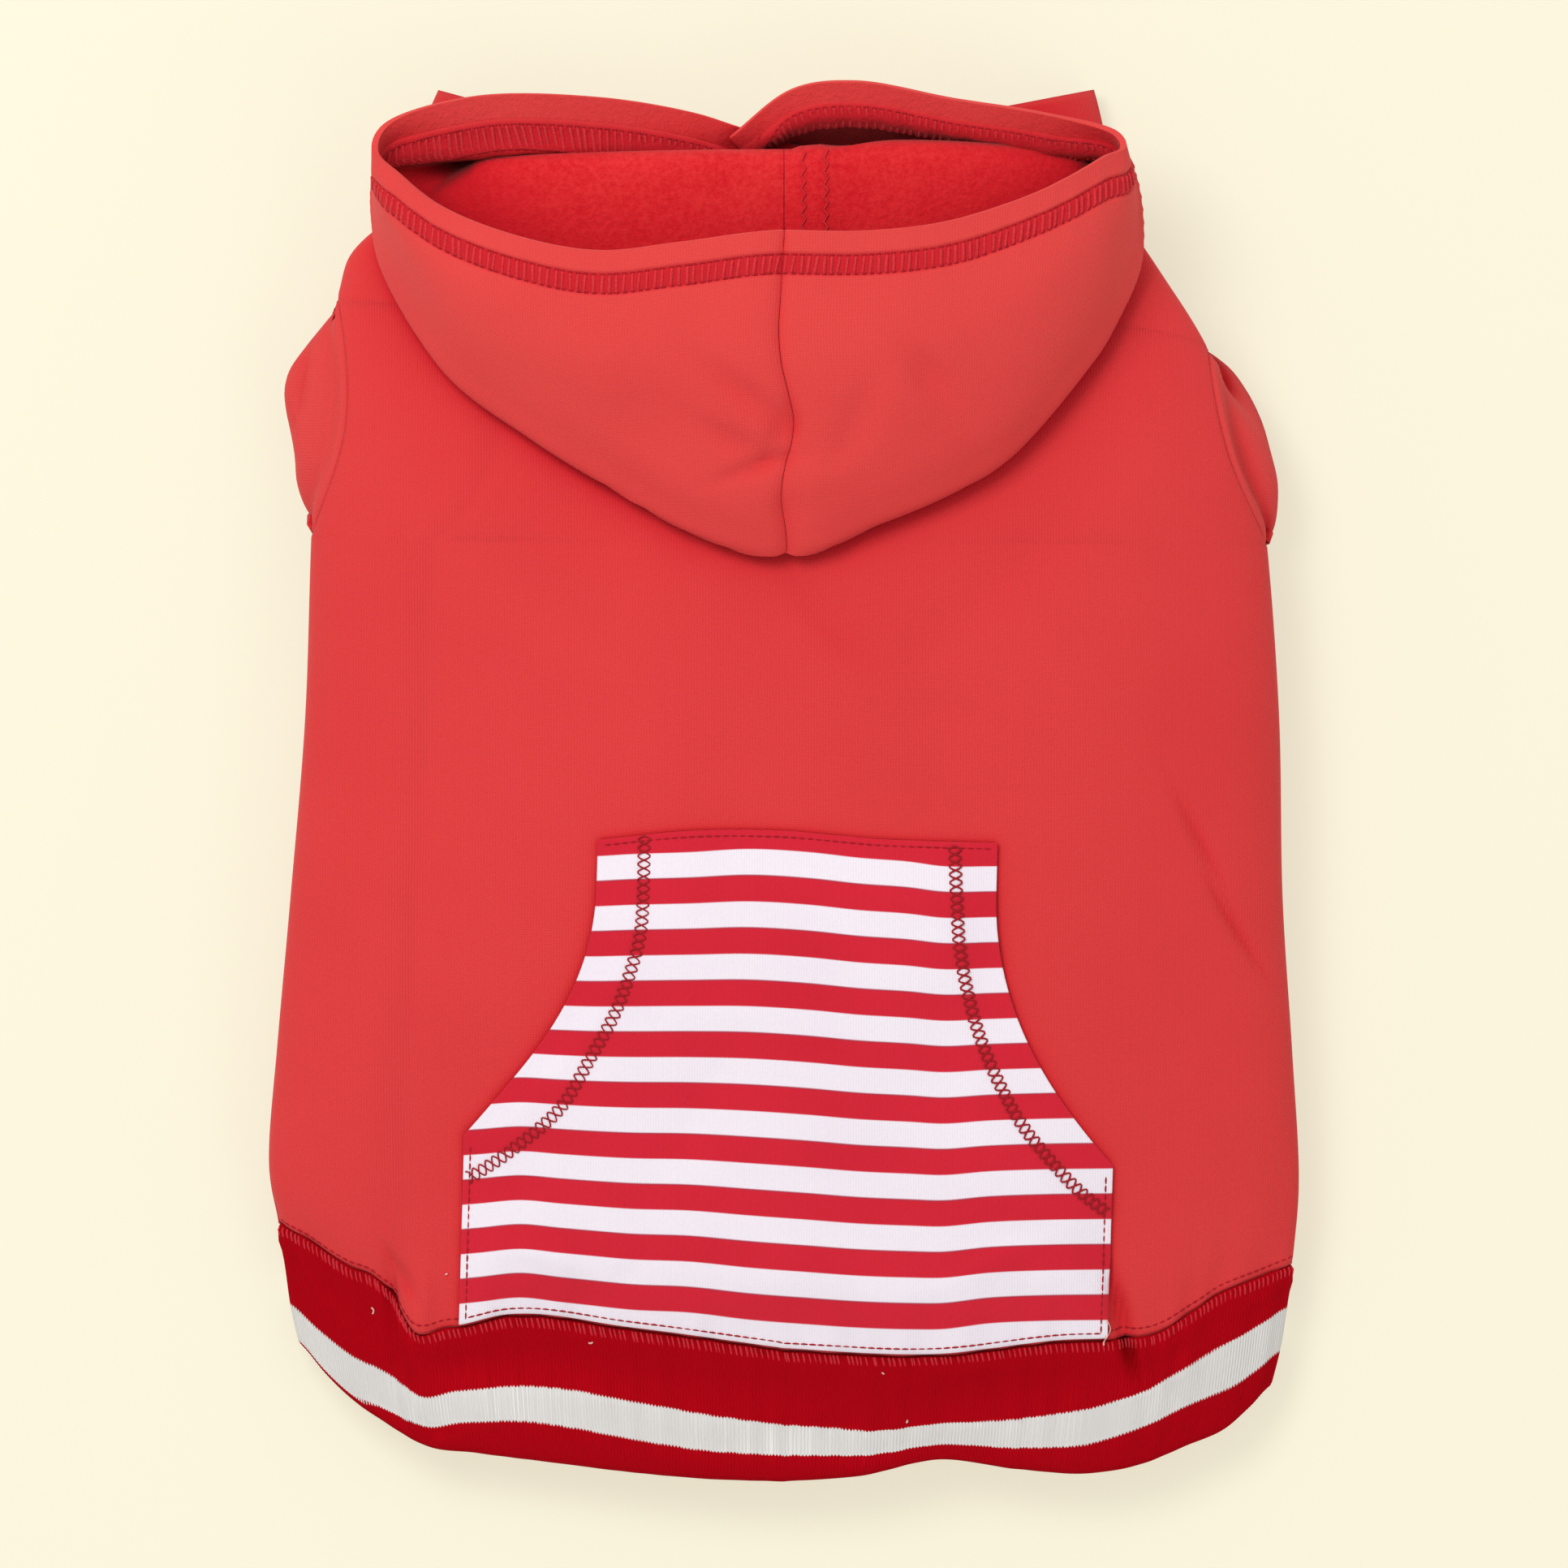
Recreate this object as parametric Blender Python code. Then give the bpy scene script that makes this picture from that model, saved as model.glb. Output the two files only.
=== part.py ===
"""A dog hoodie lying belly down with its hood folded back. Metres, +Z up, head end at +Y."""

import math

import bmesh
import bpy
import numpy as np
from mathutils import Vector
from mathutils.bvhtree import BVHTree

# Driving sizes of the body
BACK_LENGTH = 0.3615  # nape seam to waistband seam, down the middle of the back
CHEST_HALF = 0.150  # half the width of the flattened body
BACK_HEIGHT = 0.051  # how high the slightly puffed body stands
FRONT_LIFT = 0.0165  # the chest lies this high, on the folded sleeves
NECK_HALF = 0.095  # half the width of the flattened neck opening

# Driving sizes of the other pieces
HOOD_HALF = 0.115  # half the hood's width where it is widest
HOOD_DROP = 0.1175  # nape to the tip of the folded hood
HOOD_RISE = 0.034  # how far the front edge of the hood stands above the body
HOOD_FOLD = 0.011  # thickness of the soft fold at the hood's lower edge
SLEEVE_REACH = 0.110  # armhole to cuff
CUFF_HALF = 0.040  # half the width of the flattened cuff
CUFF_HEIGHT = 0.0134  # height of the flattened cuff
RIB_DEPTH = 0.040  # seam to edge of the waistband
POCKET_LENGTH = 0.161
POCKET_HALF = 0.100  # half the width of the pocket at the waistband
POCKET_TOP_HALF = 0.0615  # and at its top edge
POCKET_SHIFT = 0.0045  # the top edge lies this far to the right of the bottom one

# Fabric thickness and clearances
FLEECE = 0.002
RIB = 0.0022
JERSEY = 0.0012
SEAM_GAP = 0.0003  # left between two pieces sewn edge to edge
SIDE_SEAM_GAP = 0.0008  # left between the back and the belly
WAIST_SEAM_GAP = 0.0011  # left between the waistband and the panels
HOOD_SEAM_GAP = 0.0009  # left between the halves of the hood
ARMHOLE_GAP = 0.0009  # left between a sleeve and the panels that it is set into
LAYER_GAP = 0.0005  # left between two pieces that lie on each other
SEAM_RUN_OUT = 0.003  # the hood and the sleeves leave their seams straight for this far
SLEEVE_TURN = 0.0025  # the sleeves then turn down by this much
SLEEVE_CLEAR = 0.0022  # and stay this far below the belly
SLEEVE_NEAR = 0.008  # also where they are only this near to its edge

# Faces along and across the pieces
BODY_ROWS = (12, 8, 4)  # waist to armhole, along the armhole, armhole to neck
BACK_COLUMNS = 26
BELLY_COLUMNS = (4, 5, 4)  # round the left side, over the flat, round the right side
HOOD_ROUND = 15
HOOD_DOWN = 26
SLEEVE_ROWS = 9
RIB_ROWS = 4
POCKET_ROWS = (2, 8, 5)  # above the pocket's curved mouths, along them, below them
POCKET_COLUMNS = 12

BELLY_FLAT = 0.72  # share of the quarter turn over which the belly lies flat
BACK_ROUND = 0.75  # under 1 makes the back fuller towards its sides
ARMHOLE_BACK = 0.22  # share of the quarter turn that the armhole takes from the back
ARMHOLE_BELLY = 0.42  # and from the belly
ARMHOLE_ROUND = 0.55

# Body sections from waist to neck. Lengths along the body are shares of BACK_LENGTH from the
# waistband seam: down the middle of the back, down the middle of the belly, and at each side.
# left and right are shares of CHEST_HALF, top and seam of BACK_HEIGHT, under of FRONT_LIFT.
BODY = {
    "back": (0.000, 0.070, 0.209, 0.375, 0.541, 0.690, 0.790, 0.889, 0.945, 1.000),
    "belly": (0.205, 0.245, 0.320, 0.430, 0.555, 0.690, 0.795, 0.895, 0.960, 1.020),
    "side_left": (0.109, 0.165, 0.264, 0.389, 0.541, 0.696, 0.798, 0.900, 0.950, 1.008),
    "side_right": (0.075, 0.148, 0.256, 0.389, 0.541, 0.687, 0.770, 0.855, 0.920, 1.008),
    "left": (1.038, 1.058, 1.040, 1.013, 0.983, 0.970, 0.955, 0.915, 0.858, None),
    "right": (1.047, 1.061, 1.047, 1.027, 1.020, 0.995, 0.965, 0.872, 0.775, None),
    "top": (0.610, 0.725, 0.865, 0.960, 1.000, 1.000, 0.965, 0.905, 0.860, 0.745),
    "seam": (0.275, 0.315, 0.355, 0.375, 0.390, 0.430, 0.490, 0.530, 0.540, 0.530),
    "under": (0.000, 0.000, 0.000, 0.000, 0.000, 0.800, 1.000, 1.000, 1.000, 1.000),
}
ARMHOLE_FROM = 5  # rows of BODY between which the armholes lie
ARMHOLE_TO = 7

# How far two lines across the back have dropped from the side, 0, to the middle, 1: the waistband's
# seam and its edge, each read at a share of the half width from the middle
SEAM_DROP = {
    "across": (0.00, 0.30, 0.55, 0.66, 0.76, 0.86, 0.95, 1.00),
    "left": (0.98, 0.82, 0.72, 0.80, 0.68, 0.36, 0.10, 0.00),
    "right": (0.98, 1.04, 0.88, 0.80, 0.76, 0.34, 0.12, 0.00),
}
EDGE_DROP = {
    "across": (0.00, 0.16, 0.32, 0.48, 0.64, 0.74, 0.82, 0.92, 1.00),
    "left": (1.00, 0.98, 0.93, 0.86, 0.79, 0.74, 0.58, 0.32, 0.00),
    "right": (1.00, 0.94, 0.77, 0.87, 0.91, 0.81, 0.64, 0.40, 0.00),
}

# The waistband from its seam to its edge, as shares of RIB_DEPTH, CHEST_HALF and BACK_HEIGHT
WAISTBAND = {
    "down": (0.0, 0.35, 0.70, 1.0),
    "left": (1.038, 1.024, 1.012, 0.995),
    "right": (1.047, 1.036, 1.022, 1.003),
    "top": (0.610, 0.570, 0.520, 0.470),
    "seam": (0.275, 0.260, 0.240, 0.220),
}
SIDE_DEPTH = {"left": 0.93, "right": 0.95}  # at the sides the band is this share of RIB_DEPTH deep

# The hood, from its centre seam round to its throat end. round is the place on the neck opening,
# 0 at the nape and 1 at the throat. The front edge and the fold are shares of HOOD_HALF across,
# of HOOD_DROP behind the nape, and of HOOD_RISE above the body for the edge's height.
HOOD_LEFT = {
    "round": (0.00, 0.13, 0.25, 0.35, 0.43, 0.48, 0.52, 0.58, 0.71, 0.83, 0.92, 0.965),
    "edge_x": (0.00, 0.28, 0.50, 0.71, 0.92, 1.035, 1.096, 1.065, 0.835, 0.50, 0.245, 0.115),
    "edge_y": (0.145, 0.175, 0.196, 0.158, 0.077, -0.01, -0.068, -0.140, -0.213, -0.213, -0.174, -0.135),
    "edge_z": (1.00, 0.94, 0.85, 0.76, 0.61, 0.44, 0.24, 0.02, -0.20, -0.36, -0.52, -0.62),
    "fold_x": (0.006, 0.25, 0.483, 0.678, 0.909, 1.057, 1.098, 1.085, 0.855, 0.52, 0.27, 0.14),
    "fold_y": (1.00, 0.932, 0.804, 0.685, 0.511, 0.289, 0.153, -0.035, -0.155, -0.165, -0.140, -0.115),
    "folded": (1.00, 1.00, 1.00, 1.00, 1.00, 0.95, 0.75, 0.25, 0.00, 0.00, 0.00, 0.00),
}
HOOD_RIGHT = {
    "round": (0.00, 0.12, 0.24, 0.34, 0.41, 0.47, 0.52, 0.58, 0.70, 0.82, 0.92, 0.98, 1.025),
    "edge_x": (0.00, 0.226, 0.443, 0.657, 0.765, 0.861, 0.909, 0.887, 0.696, 0.452, 0.191, 0.022, -0.110),
    "edge_y": (0.145, 0.145, 0.119, 0.051, 0.000, -0.055, -0.077, -0.119, -0.170, -0.209, -0.255, -0.234, -0.136),
    "edge_z": (1.00, 0.95, 0.88, 0.75, 0.61, 0.41, 0.24, 0.05, -0.15, -0.26, -0.29, -0.35, -0.50),
    "fold_x": (0.006, 0.25, 0.483, 0.637, 0.778, 0.887, 0.961, 0.940, 0.720, 0.478, 0.210, 0.045, -0.085),
    "fold_y": (1.00, 0.913, 0.813, 0.706, 0.545, 0.396, 0.221, -0.020, -0.125, -0.160, -0.190, -0.175, -0.110),
    "folded": (1.00, 1.00, 1.00, 1.00, 1.00, 0.90, 0.60, 0.12, 0.00, 0.00, 0.00, 0.00, 0.00),
}
CROWN_PUFF = 0.18  # fullness of the crown between edge and fold, a share of HOOD_RISE
NAPE_ROLL = 0.055  # how far the hood rolls out past the nape seam, a share of HOOD_DROP

# Sleeve rings after the armhole: places of the ring's middle and its two half axes, across and
# round, as shares of SLEEVE_REACH from the armhole's middle, outwards and headwards, and heights
# as shares of CUFF_HEIGHT. wide is a share of CUFF_HALF along the first axis.
SLEEVE_LEFT = {
    "out": (0.05, -0.10, -0.33, -0.57),
    "ahead": (0.02, 0.13, 0.43, 0.82),
    "high": (1.15, 0.62, 0.52, 0.50),
    "across_out": (0.46, 0.57, 0.78, 0.96),
    "across_ahead": (0.02, 0.40, 0.30, 0.27),
    "across_high": (0.62, 0.14, 0.00, 0.00),
    "round_out": (-0.08, -0.20, 0.00, 0.00),
    "round_ahead": (0.88, 0.62, 0.25, 0.00),
    "round_high": (0.20, 0.50, 0.54, 0.52),
}
SLEEVE_RIGHT = {
    "out": (0.03, -0.15, -0.50, -0.675),
    "ahead": (-0.05, 0.14, 0.50, 0.91),
    "high": (1.05, 0.55, 0.52, 0.50),
    "across_out": (0.44, 0.57, 0.80, 0.98),
    "across_ahead": (-0.06, 0.40, 0.28, 0.19),
    "across_high": (0.62, 0.14, 0.00, 0.00),
    "round_out": (-0.24, -0.20, 0.00, 0.00),
    "round_ahead": (0.66, 0.52, 0.25, 0.00),
    "round_high": (0.20, 0.50, 0.54, 0.52),
}

# Where the pocket's curved mouths start and end, as shares of POCKET_LENGTH from its top
MOUTH_FROM = 0.10
MOUTH_TO = (0.608, 0.65)  # left and right
MOUTH_CURVE = 2.05
# How far the pocket's top edge dips from left to right, as shares of POCKET_LENGTH
TOP_DIP = {"across": (0.00, 0.25, 0.45, 0.70, 1.00), "dip": (0.019, 0.001, 0.001, 0.017, 0.025)}


def through(knots, values, at):
    """A smooth curve through values at knots, read at the places in at."""
    knots = np.asarray(knots, float)
    values = np.asarray(values, float)
    at = np.atleast_1d(np.asarray(at, float))
    steps = np.diff(knots)
    shape = (-1,) + (1,) * (values.ndim - 1)
    slopes = np.diff(values, axis=0) / steps.reshape(shape)
    before = steps[:-1].reshape(shape)
    after = steps[1:].reshape(shape)
    inner = (slopes[:-1] * after + slopes[1:] * before) / (before + after)
    tangents = np.concatenate([slopes[:1], inner, slopes[-1:]])
    piece = np.clip(np.searchsorted(knots, at, side="right") - 1, 0, len(steps) - 1)
    step = steps[piece].reshape(shape)
    t = ((at - knots[piece]) / steps[piece]).reshape(shape)
    start, end = values[piece], values[piece + 1]
    pull, push = tangents[piece] * step, tangents[piece + 1] * step
    return (
        start * (2 * t**3 - 3 * t**2 + 1)
        + pull * (t**3 - 2 * t**2 + t)
        + end * (3 * t**2 - 2 * t**3)
        + push * (t**3 - t**2)
    )


def chord_knots(points):
    """Knots that grow with the square root of the distance between points."""
    gaps = np.linalg.norm(np.diff(points, axis=0), axis=-1)
    return np.concatenate([[0.0], np.cumsum(np.sqrt(np.maximum(gaps, 1e-6)))])


def body_rows():
    """Each column of BODY in metres, at every row of faces from waist to neck."""
    places = np.arange(len(BODY["back"]), dtype=float)
    first, middle, last = BODY_ROWS
    at = np.concatenate([
        np.linspace(0, ARMHOLE_FROM, first + 1),
        np.linspace(ARMHOLE_FROM, ARMHOLE_TO, middle + 1)[1:],
        np.linspace(ARMHOLE_TO, places[-1], last + 1)[1:],
    ])
    units = {"back": BACK_LENGTH, "belly": BACK_LENGTH, "side_left": BACK_LENGTH,
             "side_right": BACK_LENGTH, "left": CHEST_HALF, "right": CHEST_HALF,
             "top": BACK_HEIGHT, "seam": BACK_HEIGHT, "under": FRONT_LIFT}
    rows = {}
    for name, unit in units.items():
        column = [NECK_HALF / unit if share is None else share for share in BODY[name]]
        rows[name] = through(places, np.array(column) * unit, at)
    rows["under"] = np.clip(rows["under"], 0, FRONT_LIFT)
    rows["under"][at <= ARMHOLE_FROM - 1] = 0
    return rows


ROWS = body_rows()
ARM_START = BODY_ROWS[0]
ARM_END = BODY_ROWS[0] + BODY_ROWS[1]


def armhole_share(row):
    """0 at both ends of the armhole and outside it, 1 at its middle."""
    along = (row - ARM_START) / (ARM_END - ARM_START)
    if along <= 0 or along >= 1:
        return 0.0
    return math.sin(math.pi * along) ** ARMHOLE_ROUND


def dropped(table, turn):
    """How far a line across the back has dropped from side to middle."""
    return through(table["across"], table["left" if turn < 0 else "right"], abs(math.sin(turn)))[0]


def row_drop(turn, row):
    """The same for a row of the back: the waist seam's line first, then plain round rows."""
    fade = max(0.0, 1 - row / 4)
    return math.cos(turn) + (dropped(SEAM_DROP, turn) - math.cos(turn)) * fade


def across(turn, left, right):
    return left * math.sin(turn) if turn < 0 else right * math.sin(turn)


def back_point(row, share):
    """A point of the back's outer face. share runs from -1 at the left seam to 1 at the right."""
    turn = share * math.pi / 2
    side = ROWS["side_left" if turn < 0 else "side_right"][row]
    y = side + (ROWS["back"][row] - side) * row_drop(turn, row)
    rise = max(math.cos(turn), 0.0) ** BACK_ROUND
    z = ROWS["seam"][row] + (ROWS["top"][row] - ROWS["seam"][row]) * rise
    return Vector((across(turn, ROWS["left"][row], ROWS["right"][row]), y, z))


def belly_section(share):
    """The turn across the belly, and its lift: 0 where it lies flat, 1 at the side seam."""
    past = max(abs(share) - BELLY_FLAT, 0.0) / (1 - BELLY_FLAT) * math.pi / 2
    reached = min(abs(share), BELLY_FLAT) + (1 - BELLY_FLAT) * math.sin(past)
    return math.copysign(reached * math.pi / 2, share), 1 - math.cos(past)


def belly_shares(reach):
    """Places across the belly, closer together round its sides."""
    left, flat, right = BELLY_COLUMNS
    shares = np.concatenate([
        np.linspace(-1, -BELLY_FLAT, left + 1),
        np.linspace(-BELLY_FLAT, BELLY_FLAT, flat + 1)[1:],
        np.linspace(BELLY_FLAT, 1, right + 1)[1:],
    ])
    return shares * reach


def belly_point(row, share):
    """A point of the belly's outer face, which faces down."""
    turn, lift = belly_section(share)
    side = ROWS["side_left" if turn < 0 else "side_right"][row]
    y = side + (ROWS["belly"][row] - side) * math.cos(turn)
    under = ROWS["under"][row]
    z = under + (ROWS["seam"][row] - under) * lift
    return Vector((across(turn, ROWS["left"][row], ROWS["right"][row]), y, z))


def back_reach(row):
    return 1 - ARMHOLE_BACK * armhole_share(row)


def belly_reach(row):
    return 1 - ARMHOLE_BELLY * armhole_share(row)


def surface_mesh(name, points, closed_round=False, flip=False):
    """A mesh over a grid of points, rows by columns, whose last column may meet the first."""
    rows = len(points) - 1
    columns = len(points[0]) - 1
    bm = bmesh.new()
    grid = bmesh.ops.create_grid(bm, x_segments=columns, y_segments=rows, size=1)["verts"]
    for vertex in grid:
        column = round((vertex.co.x + 1) / 2 * columns)
        row = round((vertex.co.y + 1) / 2 * rows)
        vertex.co = points[row][column]
    if closed_round:
        bmesh.ops.remove_doubles(bm, verts=bm.verts, dist=1e-6)
    if flip:
        bmesh.ops.reverse_faces(bm, faces=bm.faces)
    for face in bm.faces:
        face.smooth = True
    mesh = bpy.data.meshes.new(name)
    bm.to_mesh(mesh)
    bm.free()
    return mesh


def material(name, colour, roughness):
    made = bpy.data.materials.new(name)
    made.use_nodes = True
    shader = made.node_tree.nodes["Principled BSDF"]
    shader.inputs["Base Color"].default_value = (*colour, 1)
    shader.inputs["Roughness"].default_value = roughness
    shader.inputs["Metallic"].default_value = 0
    return made


def add_piece(mesh, garment, finish, wall):
    """One named piece of cloth: the outer face, thickened inwards by its wall."""
    piece = bpy.data.objects.new(mesh.name, mesh)
    bpy.context.scene.collection.objects.link(piece)
    piece.parent = garment
    mesh.materials.append(finish)
    thickness = piece.modifiers.new("wall", "SOLIDIFY")
    thickness.thickness = wall
    thickness.offset = -1
    return piece


def tree_of(mesh):
    bm = bmesh.new()
    bm.from_mesh(mesh)
    tree = BVHTree.FromBMesh(bm)
    bm.free()
    return tree


def cloth_over(tree, x, y):
    """The cloth's upper face at a place, or None beside it."""
    return tree.ray_cast(Vector((x, y, 1)), Vector((0, 0, -1)))[0]


def cloth_under(tree, x, y):
    """The cloth's lower face at a place, or None beside it."""
    return tree.ray_cast(Vector((x, y, -1)), Vector((0, 0, 1)))[0]


def nearest_cloth(tree, x, y):
    """The cloth's upper face at a place, or its nearest edge beside it."""
    return cloth_over(tree, x, y) or tree.find_nearest(Vector((x, y, BACK_HEIGHT)))[0]


def seam_half(row):
    """Half the side seam's gap, wider at the two ends of the armhole."""
    if ARM_START < row < ARM_END:
        return 0.0
    return SIDE_SEAM_GAP * (1.1 if row in (ARM_START, ARM_END) else 0.5)


def make_back():
    rows = []
    for row in range(len(ROWS["back"])):
        reach = back_reach(row)
        points = [back_point(row, share) for share in np.linspace(-reach, reach, BACK_COLUMNS + 1)]
        points[0].z += seam_half(row)
        points[-1].z += seam_half(row)
        rows.append(points)
    return surface_mesh("back_panel", rows)


def make_belly():
    rows = []
    for row in range(len(ROWS["belly"])):
        points = [belly_point(row, share) for share in belly_shares(belly_reach(row))]
        points[0].z -= seam_half(row)
        points[-1].z -= seam_half(row)
        rows.append(points)
    return surface_mesh("belly_panel", rows, flip=True)


def waist_ring(down):
    """One closed ring of the waistband at a depth below its seam, over the back, then under the belly."""
    read = {}
    units = {"left": CHEST_HALF, "right": CHEST_HALF, "top": BACK_HEIGHT, "seam": BACK_HEIGHT}
    for name, unit in units.items():
        read[name] = through(WAISTBAND["down"], WAISTBAND[name], down)[0] * unit
    start = WAIST_SEAM_GAP + down * RIB_DEPTH
    middle = ROWS["back"][0] - start
    sides = (
        ROWS["side_left"][0] - WAIST_SEAM_GAP - down * RIB_DEPTH * SIDE_DEPTH["left"],
        ROWS["side_right"][0] - WAIST_SEAM_GAP - down * RIB_DEPTH * SIDE_DEPTH["right"],
    )
    ring = []
    for share in np.linspace(-1, 1, BACK_COLUMNS + 1):
        turn = share * math.pi / 2
        side = sides[0] if turn < 0 else sides[1]
        drop = dropped(SEAM_DROP, turn) * (1 - down) + dropped(EDGE_DROP, turn) * down
        y = side + (middle - side) * drop
        z = read["seam"] + (read["top"] - read["seam"]) * max(math.cos(turn), 0.0) ** BACK_ROUND
        ring.append(Vector((across(turn, read["left"], read["right"]), y, z)))
    for share in belly_shares(-1)[1:]:
        turn, lift = belly_section(share)
        side = sides[0] if turn < 0 else sides[1]
        y = side + (ROWS["belly"][0] - start - side) * math.cos(turn)
        ring.append(Vector((across(turn, read["left"], read["right"]), y, read["seam"] * lift)))
    ring[-1] = ring[0].copy()
    return ring


def make_waistband():
    rings = [waist_ring(down) for down in np.linspace(1, 0, RIB_ROWS + 1)]
    return surface_mesh("waistband", rings, closed_round=True)


def panel_normal(point_at, row, share):
    """The direction square to a panel at one of its places."""
    here = point_at(row, share)
    along = point_at(min(row + 1, len(ROWS["back"]) - 1), share) - point_at(row - 1, share)
    return along.cross(point_at(row, share * 0.98) - here).normalized()


def armhole_ring(side):
    """The armhole's edge, from its tail end over the back panel's edge and home along the belly's,
    and at each of its points the direction in which the panel would have gone on."""
    sign = -1 if side == "left" else 1
    places = [(back_point, row, sign * back_reach(row)) for row in range(ARM_START, ARM_END + 1)]
    places += [(belly_point, row, sign * belly_reach(row)) for row in range(ARM_END - 1, ARM_START, -1)]
    ring = [point_at(row, share) for point_at, row, share in places]
    middle = sum(ring, Vector()) / len(ring)
    onwards = []
    for index, (point_at, row, share) in enumerate(places):
        edge = ring[(index + 1) % len(ring)] - ring[index - 1]
        onward = panel_normal(point_at, row, share).cross(edge).normalized()
        onwards.append(onward * math.copysign(1, onward.dot(middle - ring[index])))
    closed = np.array(ring + ring[:1])
    return closed, np.array(onwards + onwards[:1]), np.array(middle)


def make_sleeve(side, table, belly_tree):
    sign = -1 if side == "left" else 1
    edge, onwards, middle = armhole_ring(side)
    steps = len(edge) - 1
    turns = np.linspace(0, 2 * math.pi, steps + 1)
    seam = edge + onwards * ARMHOLE_GAP
    run_out = seam + onwards * SEAM_RUN_OUT
    turned = run_out + onwards * SLEEVE_TURN / 2 - np.array([0, 0, SLEEVE_TURN])
    rings = [turned]
    for index in range(len(table["out"])):
        read = {name: column[index] for name, column in table.items()}
        centre = np.array([
            middle[0] + sign * read["out"] * SLEEVE_REACH,
            middle[1] + read["ahead"] * SLEEVE_REACH,
            read["high"] * CUFF_HEIGHT,
        ])
        wide = np.array([
            sign * read["across_out"] * CUFF_HALF,
            read["across_ahead"] * CUFF_HALF,
            read["across_high"] * CUFF_HEIGHT,
        ])
        tall = np.array([
            sign * read["round_out"] * CUFF_HALF,
            read["round_ahead"] * CUFF_HALF,
            read["round_high"] * CUFF_HEIGHT,
        ])
        rings.append(centre + np.outer(np.sin(turns), wide) - np.outer(np.cos(turns), tall))
    rings = np.array(rings)
    knots = chord_knots(rings.mean(axis=1))
    rows = through(knots, rings, np.linspace(0, knots[-1], SLEEVE_ROWS))
    points = [[Vector(p) for p in row] for row in [seam, run_out, *rows]]
    for row in points[3:]:
        for index, point in enumerate(row):
            limits = [cloth_under(belly_tree, point.x, point.y)]
            if index >= steps / 2 - 1:
                limits.append(belly_tree.find_nearest(point, SLEEVE_NEAR)[0])
            for limit in limits:
                if limit is not None:
                    point.z = min(point.z, limit.z - SLEEVE_CLEAR)
            point.z = max(point.z, 0)
    return surface_mesh(f"sleeve_{side}", points, closed_round=True, flip=side == "right")


def neck_point(side, place):
    """A point just ahead of the neck opening, 0 at the nape, 0.5 at the side and 1 at the throat."""
    sign = -1 if side == "left" else 1
    share = 1 - abs(1 - 2 * min(place, 1.0))
    last = len(ROWS["back"]) - 1
    if place <= 0.5:
        point = back_point(last, sign * share)
    else:
        point = belly_point(last, sign * share)
    if place > 1:
        point.x = -sign * (place - 1) * math.pi * NECK_HALF
    point.y += SEAM_GAP
    return point


def hood_line(side, table, index, back_tree):
    """One line of the hood from its front edge over the fold and back to the neck."""
    sign = -1 if side == "left" else 1
    nape = ROWS["back"][-1]
    ground = BACK_HEIGHT
    edge = np.array([
        sign * table["edge_x"][index] * HOOD_HALF,
        nape - table["edge_y"][index] * HOOD_DROP,
        ground + table["edge_z"][index] * HOOD_RISE,
    ])
    folded = table["folded"][index]
    at = np.linspace(0, 1, HOOD_DOWN + 1)
    fold = np.array([
        sign * table["fold_x"][index] * HOOD_HALF,
        nape - table["fold_y"][index] * HOOD_DROP,
        0.0,
    ])
    neck = np.array(neck_point(side, table["round"][index]))
    run_out = neck + np.array([0, SEAM_RUN_OUT, 0])
    low = np.array([fold[0], fold[1], neck[2] + 0.42 * (edge[2] - neck[2])])
    single = through(
        (0, 0.2, 0.4, 0.55, 0.7, 0.85, 0.94, 1),
        np.array([edge, edge * 0.67 + low * 0.33, edge * 0.33 + low * 0.67, low,
                  low * 0.60 + run_out * 0.40, low * 0.25 + run_out * 0.75, run_out, neck]),
        at,
    )
    low[2] = nearest_cloth(back_tree, fold[0], fold[1]).z + LAYER_GAP * 2
    towards = (edge - fold) * np.array([1, 1, 0])
    towards /= max(np.linalg.norm(towards), 1e-6)
    top = low + towards * HOOD_FOLD * 0.7 + np.array([0, 0, HOOD_FOLD])
    out = low + np.array([0, 0, HOOD_FOLD * 0.45])
    bottom = low + towards * HOOD_FOLD * 0.8
    crown = (edge + top) / 2 + np.array([0, 0, CROWN_PUFF * HOOD_RISE])
    roll = np.array([0, NAPE_ROLL * HOOD_DROP, 0])
    turn_down = neck + roll + np.array([0, 0, 0.35 * HOOD_FOLD])
    turn_back = neck + roll * 0.4 + np.array([0, 0, 0.75 * HOOD_FOLD])
    doubled = through(
        (0, 0.22, 0.43, 0.49, 0.55, 0.70, 0.84, 0.91, 0.96, 1),
        np.array([edge, crown, top, out, bottom, (bottom + turn_back) / 2,
                  turn_back, turn_down, run_out, neck]),
        at,
    )
    weight = (folded ** (1 + 4 * at**2))[:, None]
    return single * (1 - weight) + doubled * weight


def make_hood(side, table, back_tree):
    count = len(table["round"])
    lines = np.array([hood_line(side, table, index, back_tree) for index in range(count)])
    knots = chord_knots(lines[:, 0])
    mirrored = lines[1] * np.array([-1, 1, 1])
    at = np.linspace(0, knots[-1], HOOD_ROUND + 1)
    rows = through(
        np.concatenate([[-knots[1]], knots]), np.concatenate([[mirrored], lines]), at
    )
    sign = -1 if side == "left" else 1
    rows[0, :, 0] = sign * HOOD_SEAM_GAP / 2
    points = [[Vector(p) for p in row] for row in rows]
    lies_on_back = through(knots, table["folded"], at) > 0.6
    for row, lies in zip(points, lies_on_back):
        for point in row[:-1]:
            over = cloth_over(back_tree, point.x, point.y)
            if lies and over is not None:
                point.z = max(point.z, over.z + LAYER_GAP * 1.6)
    return surface_mesh(f"hood_{side}", points, flip=side == "left")


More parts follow.
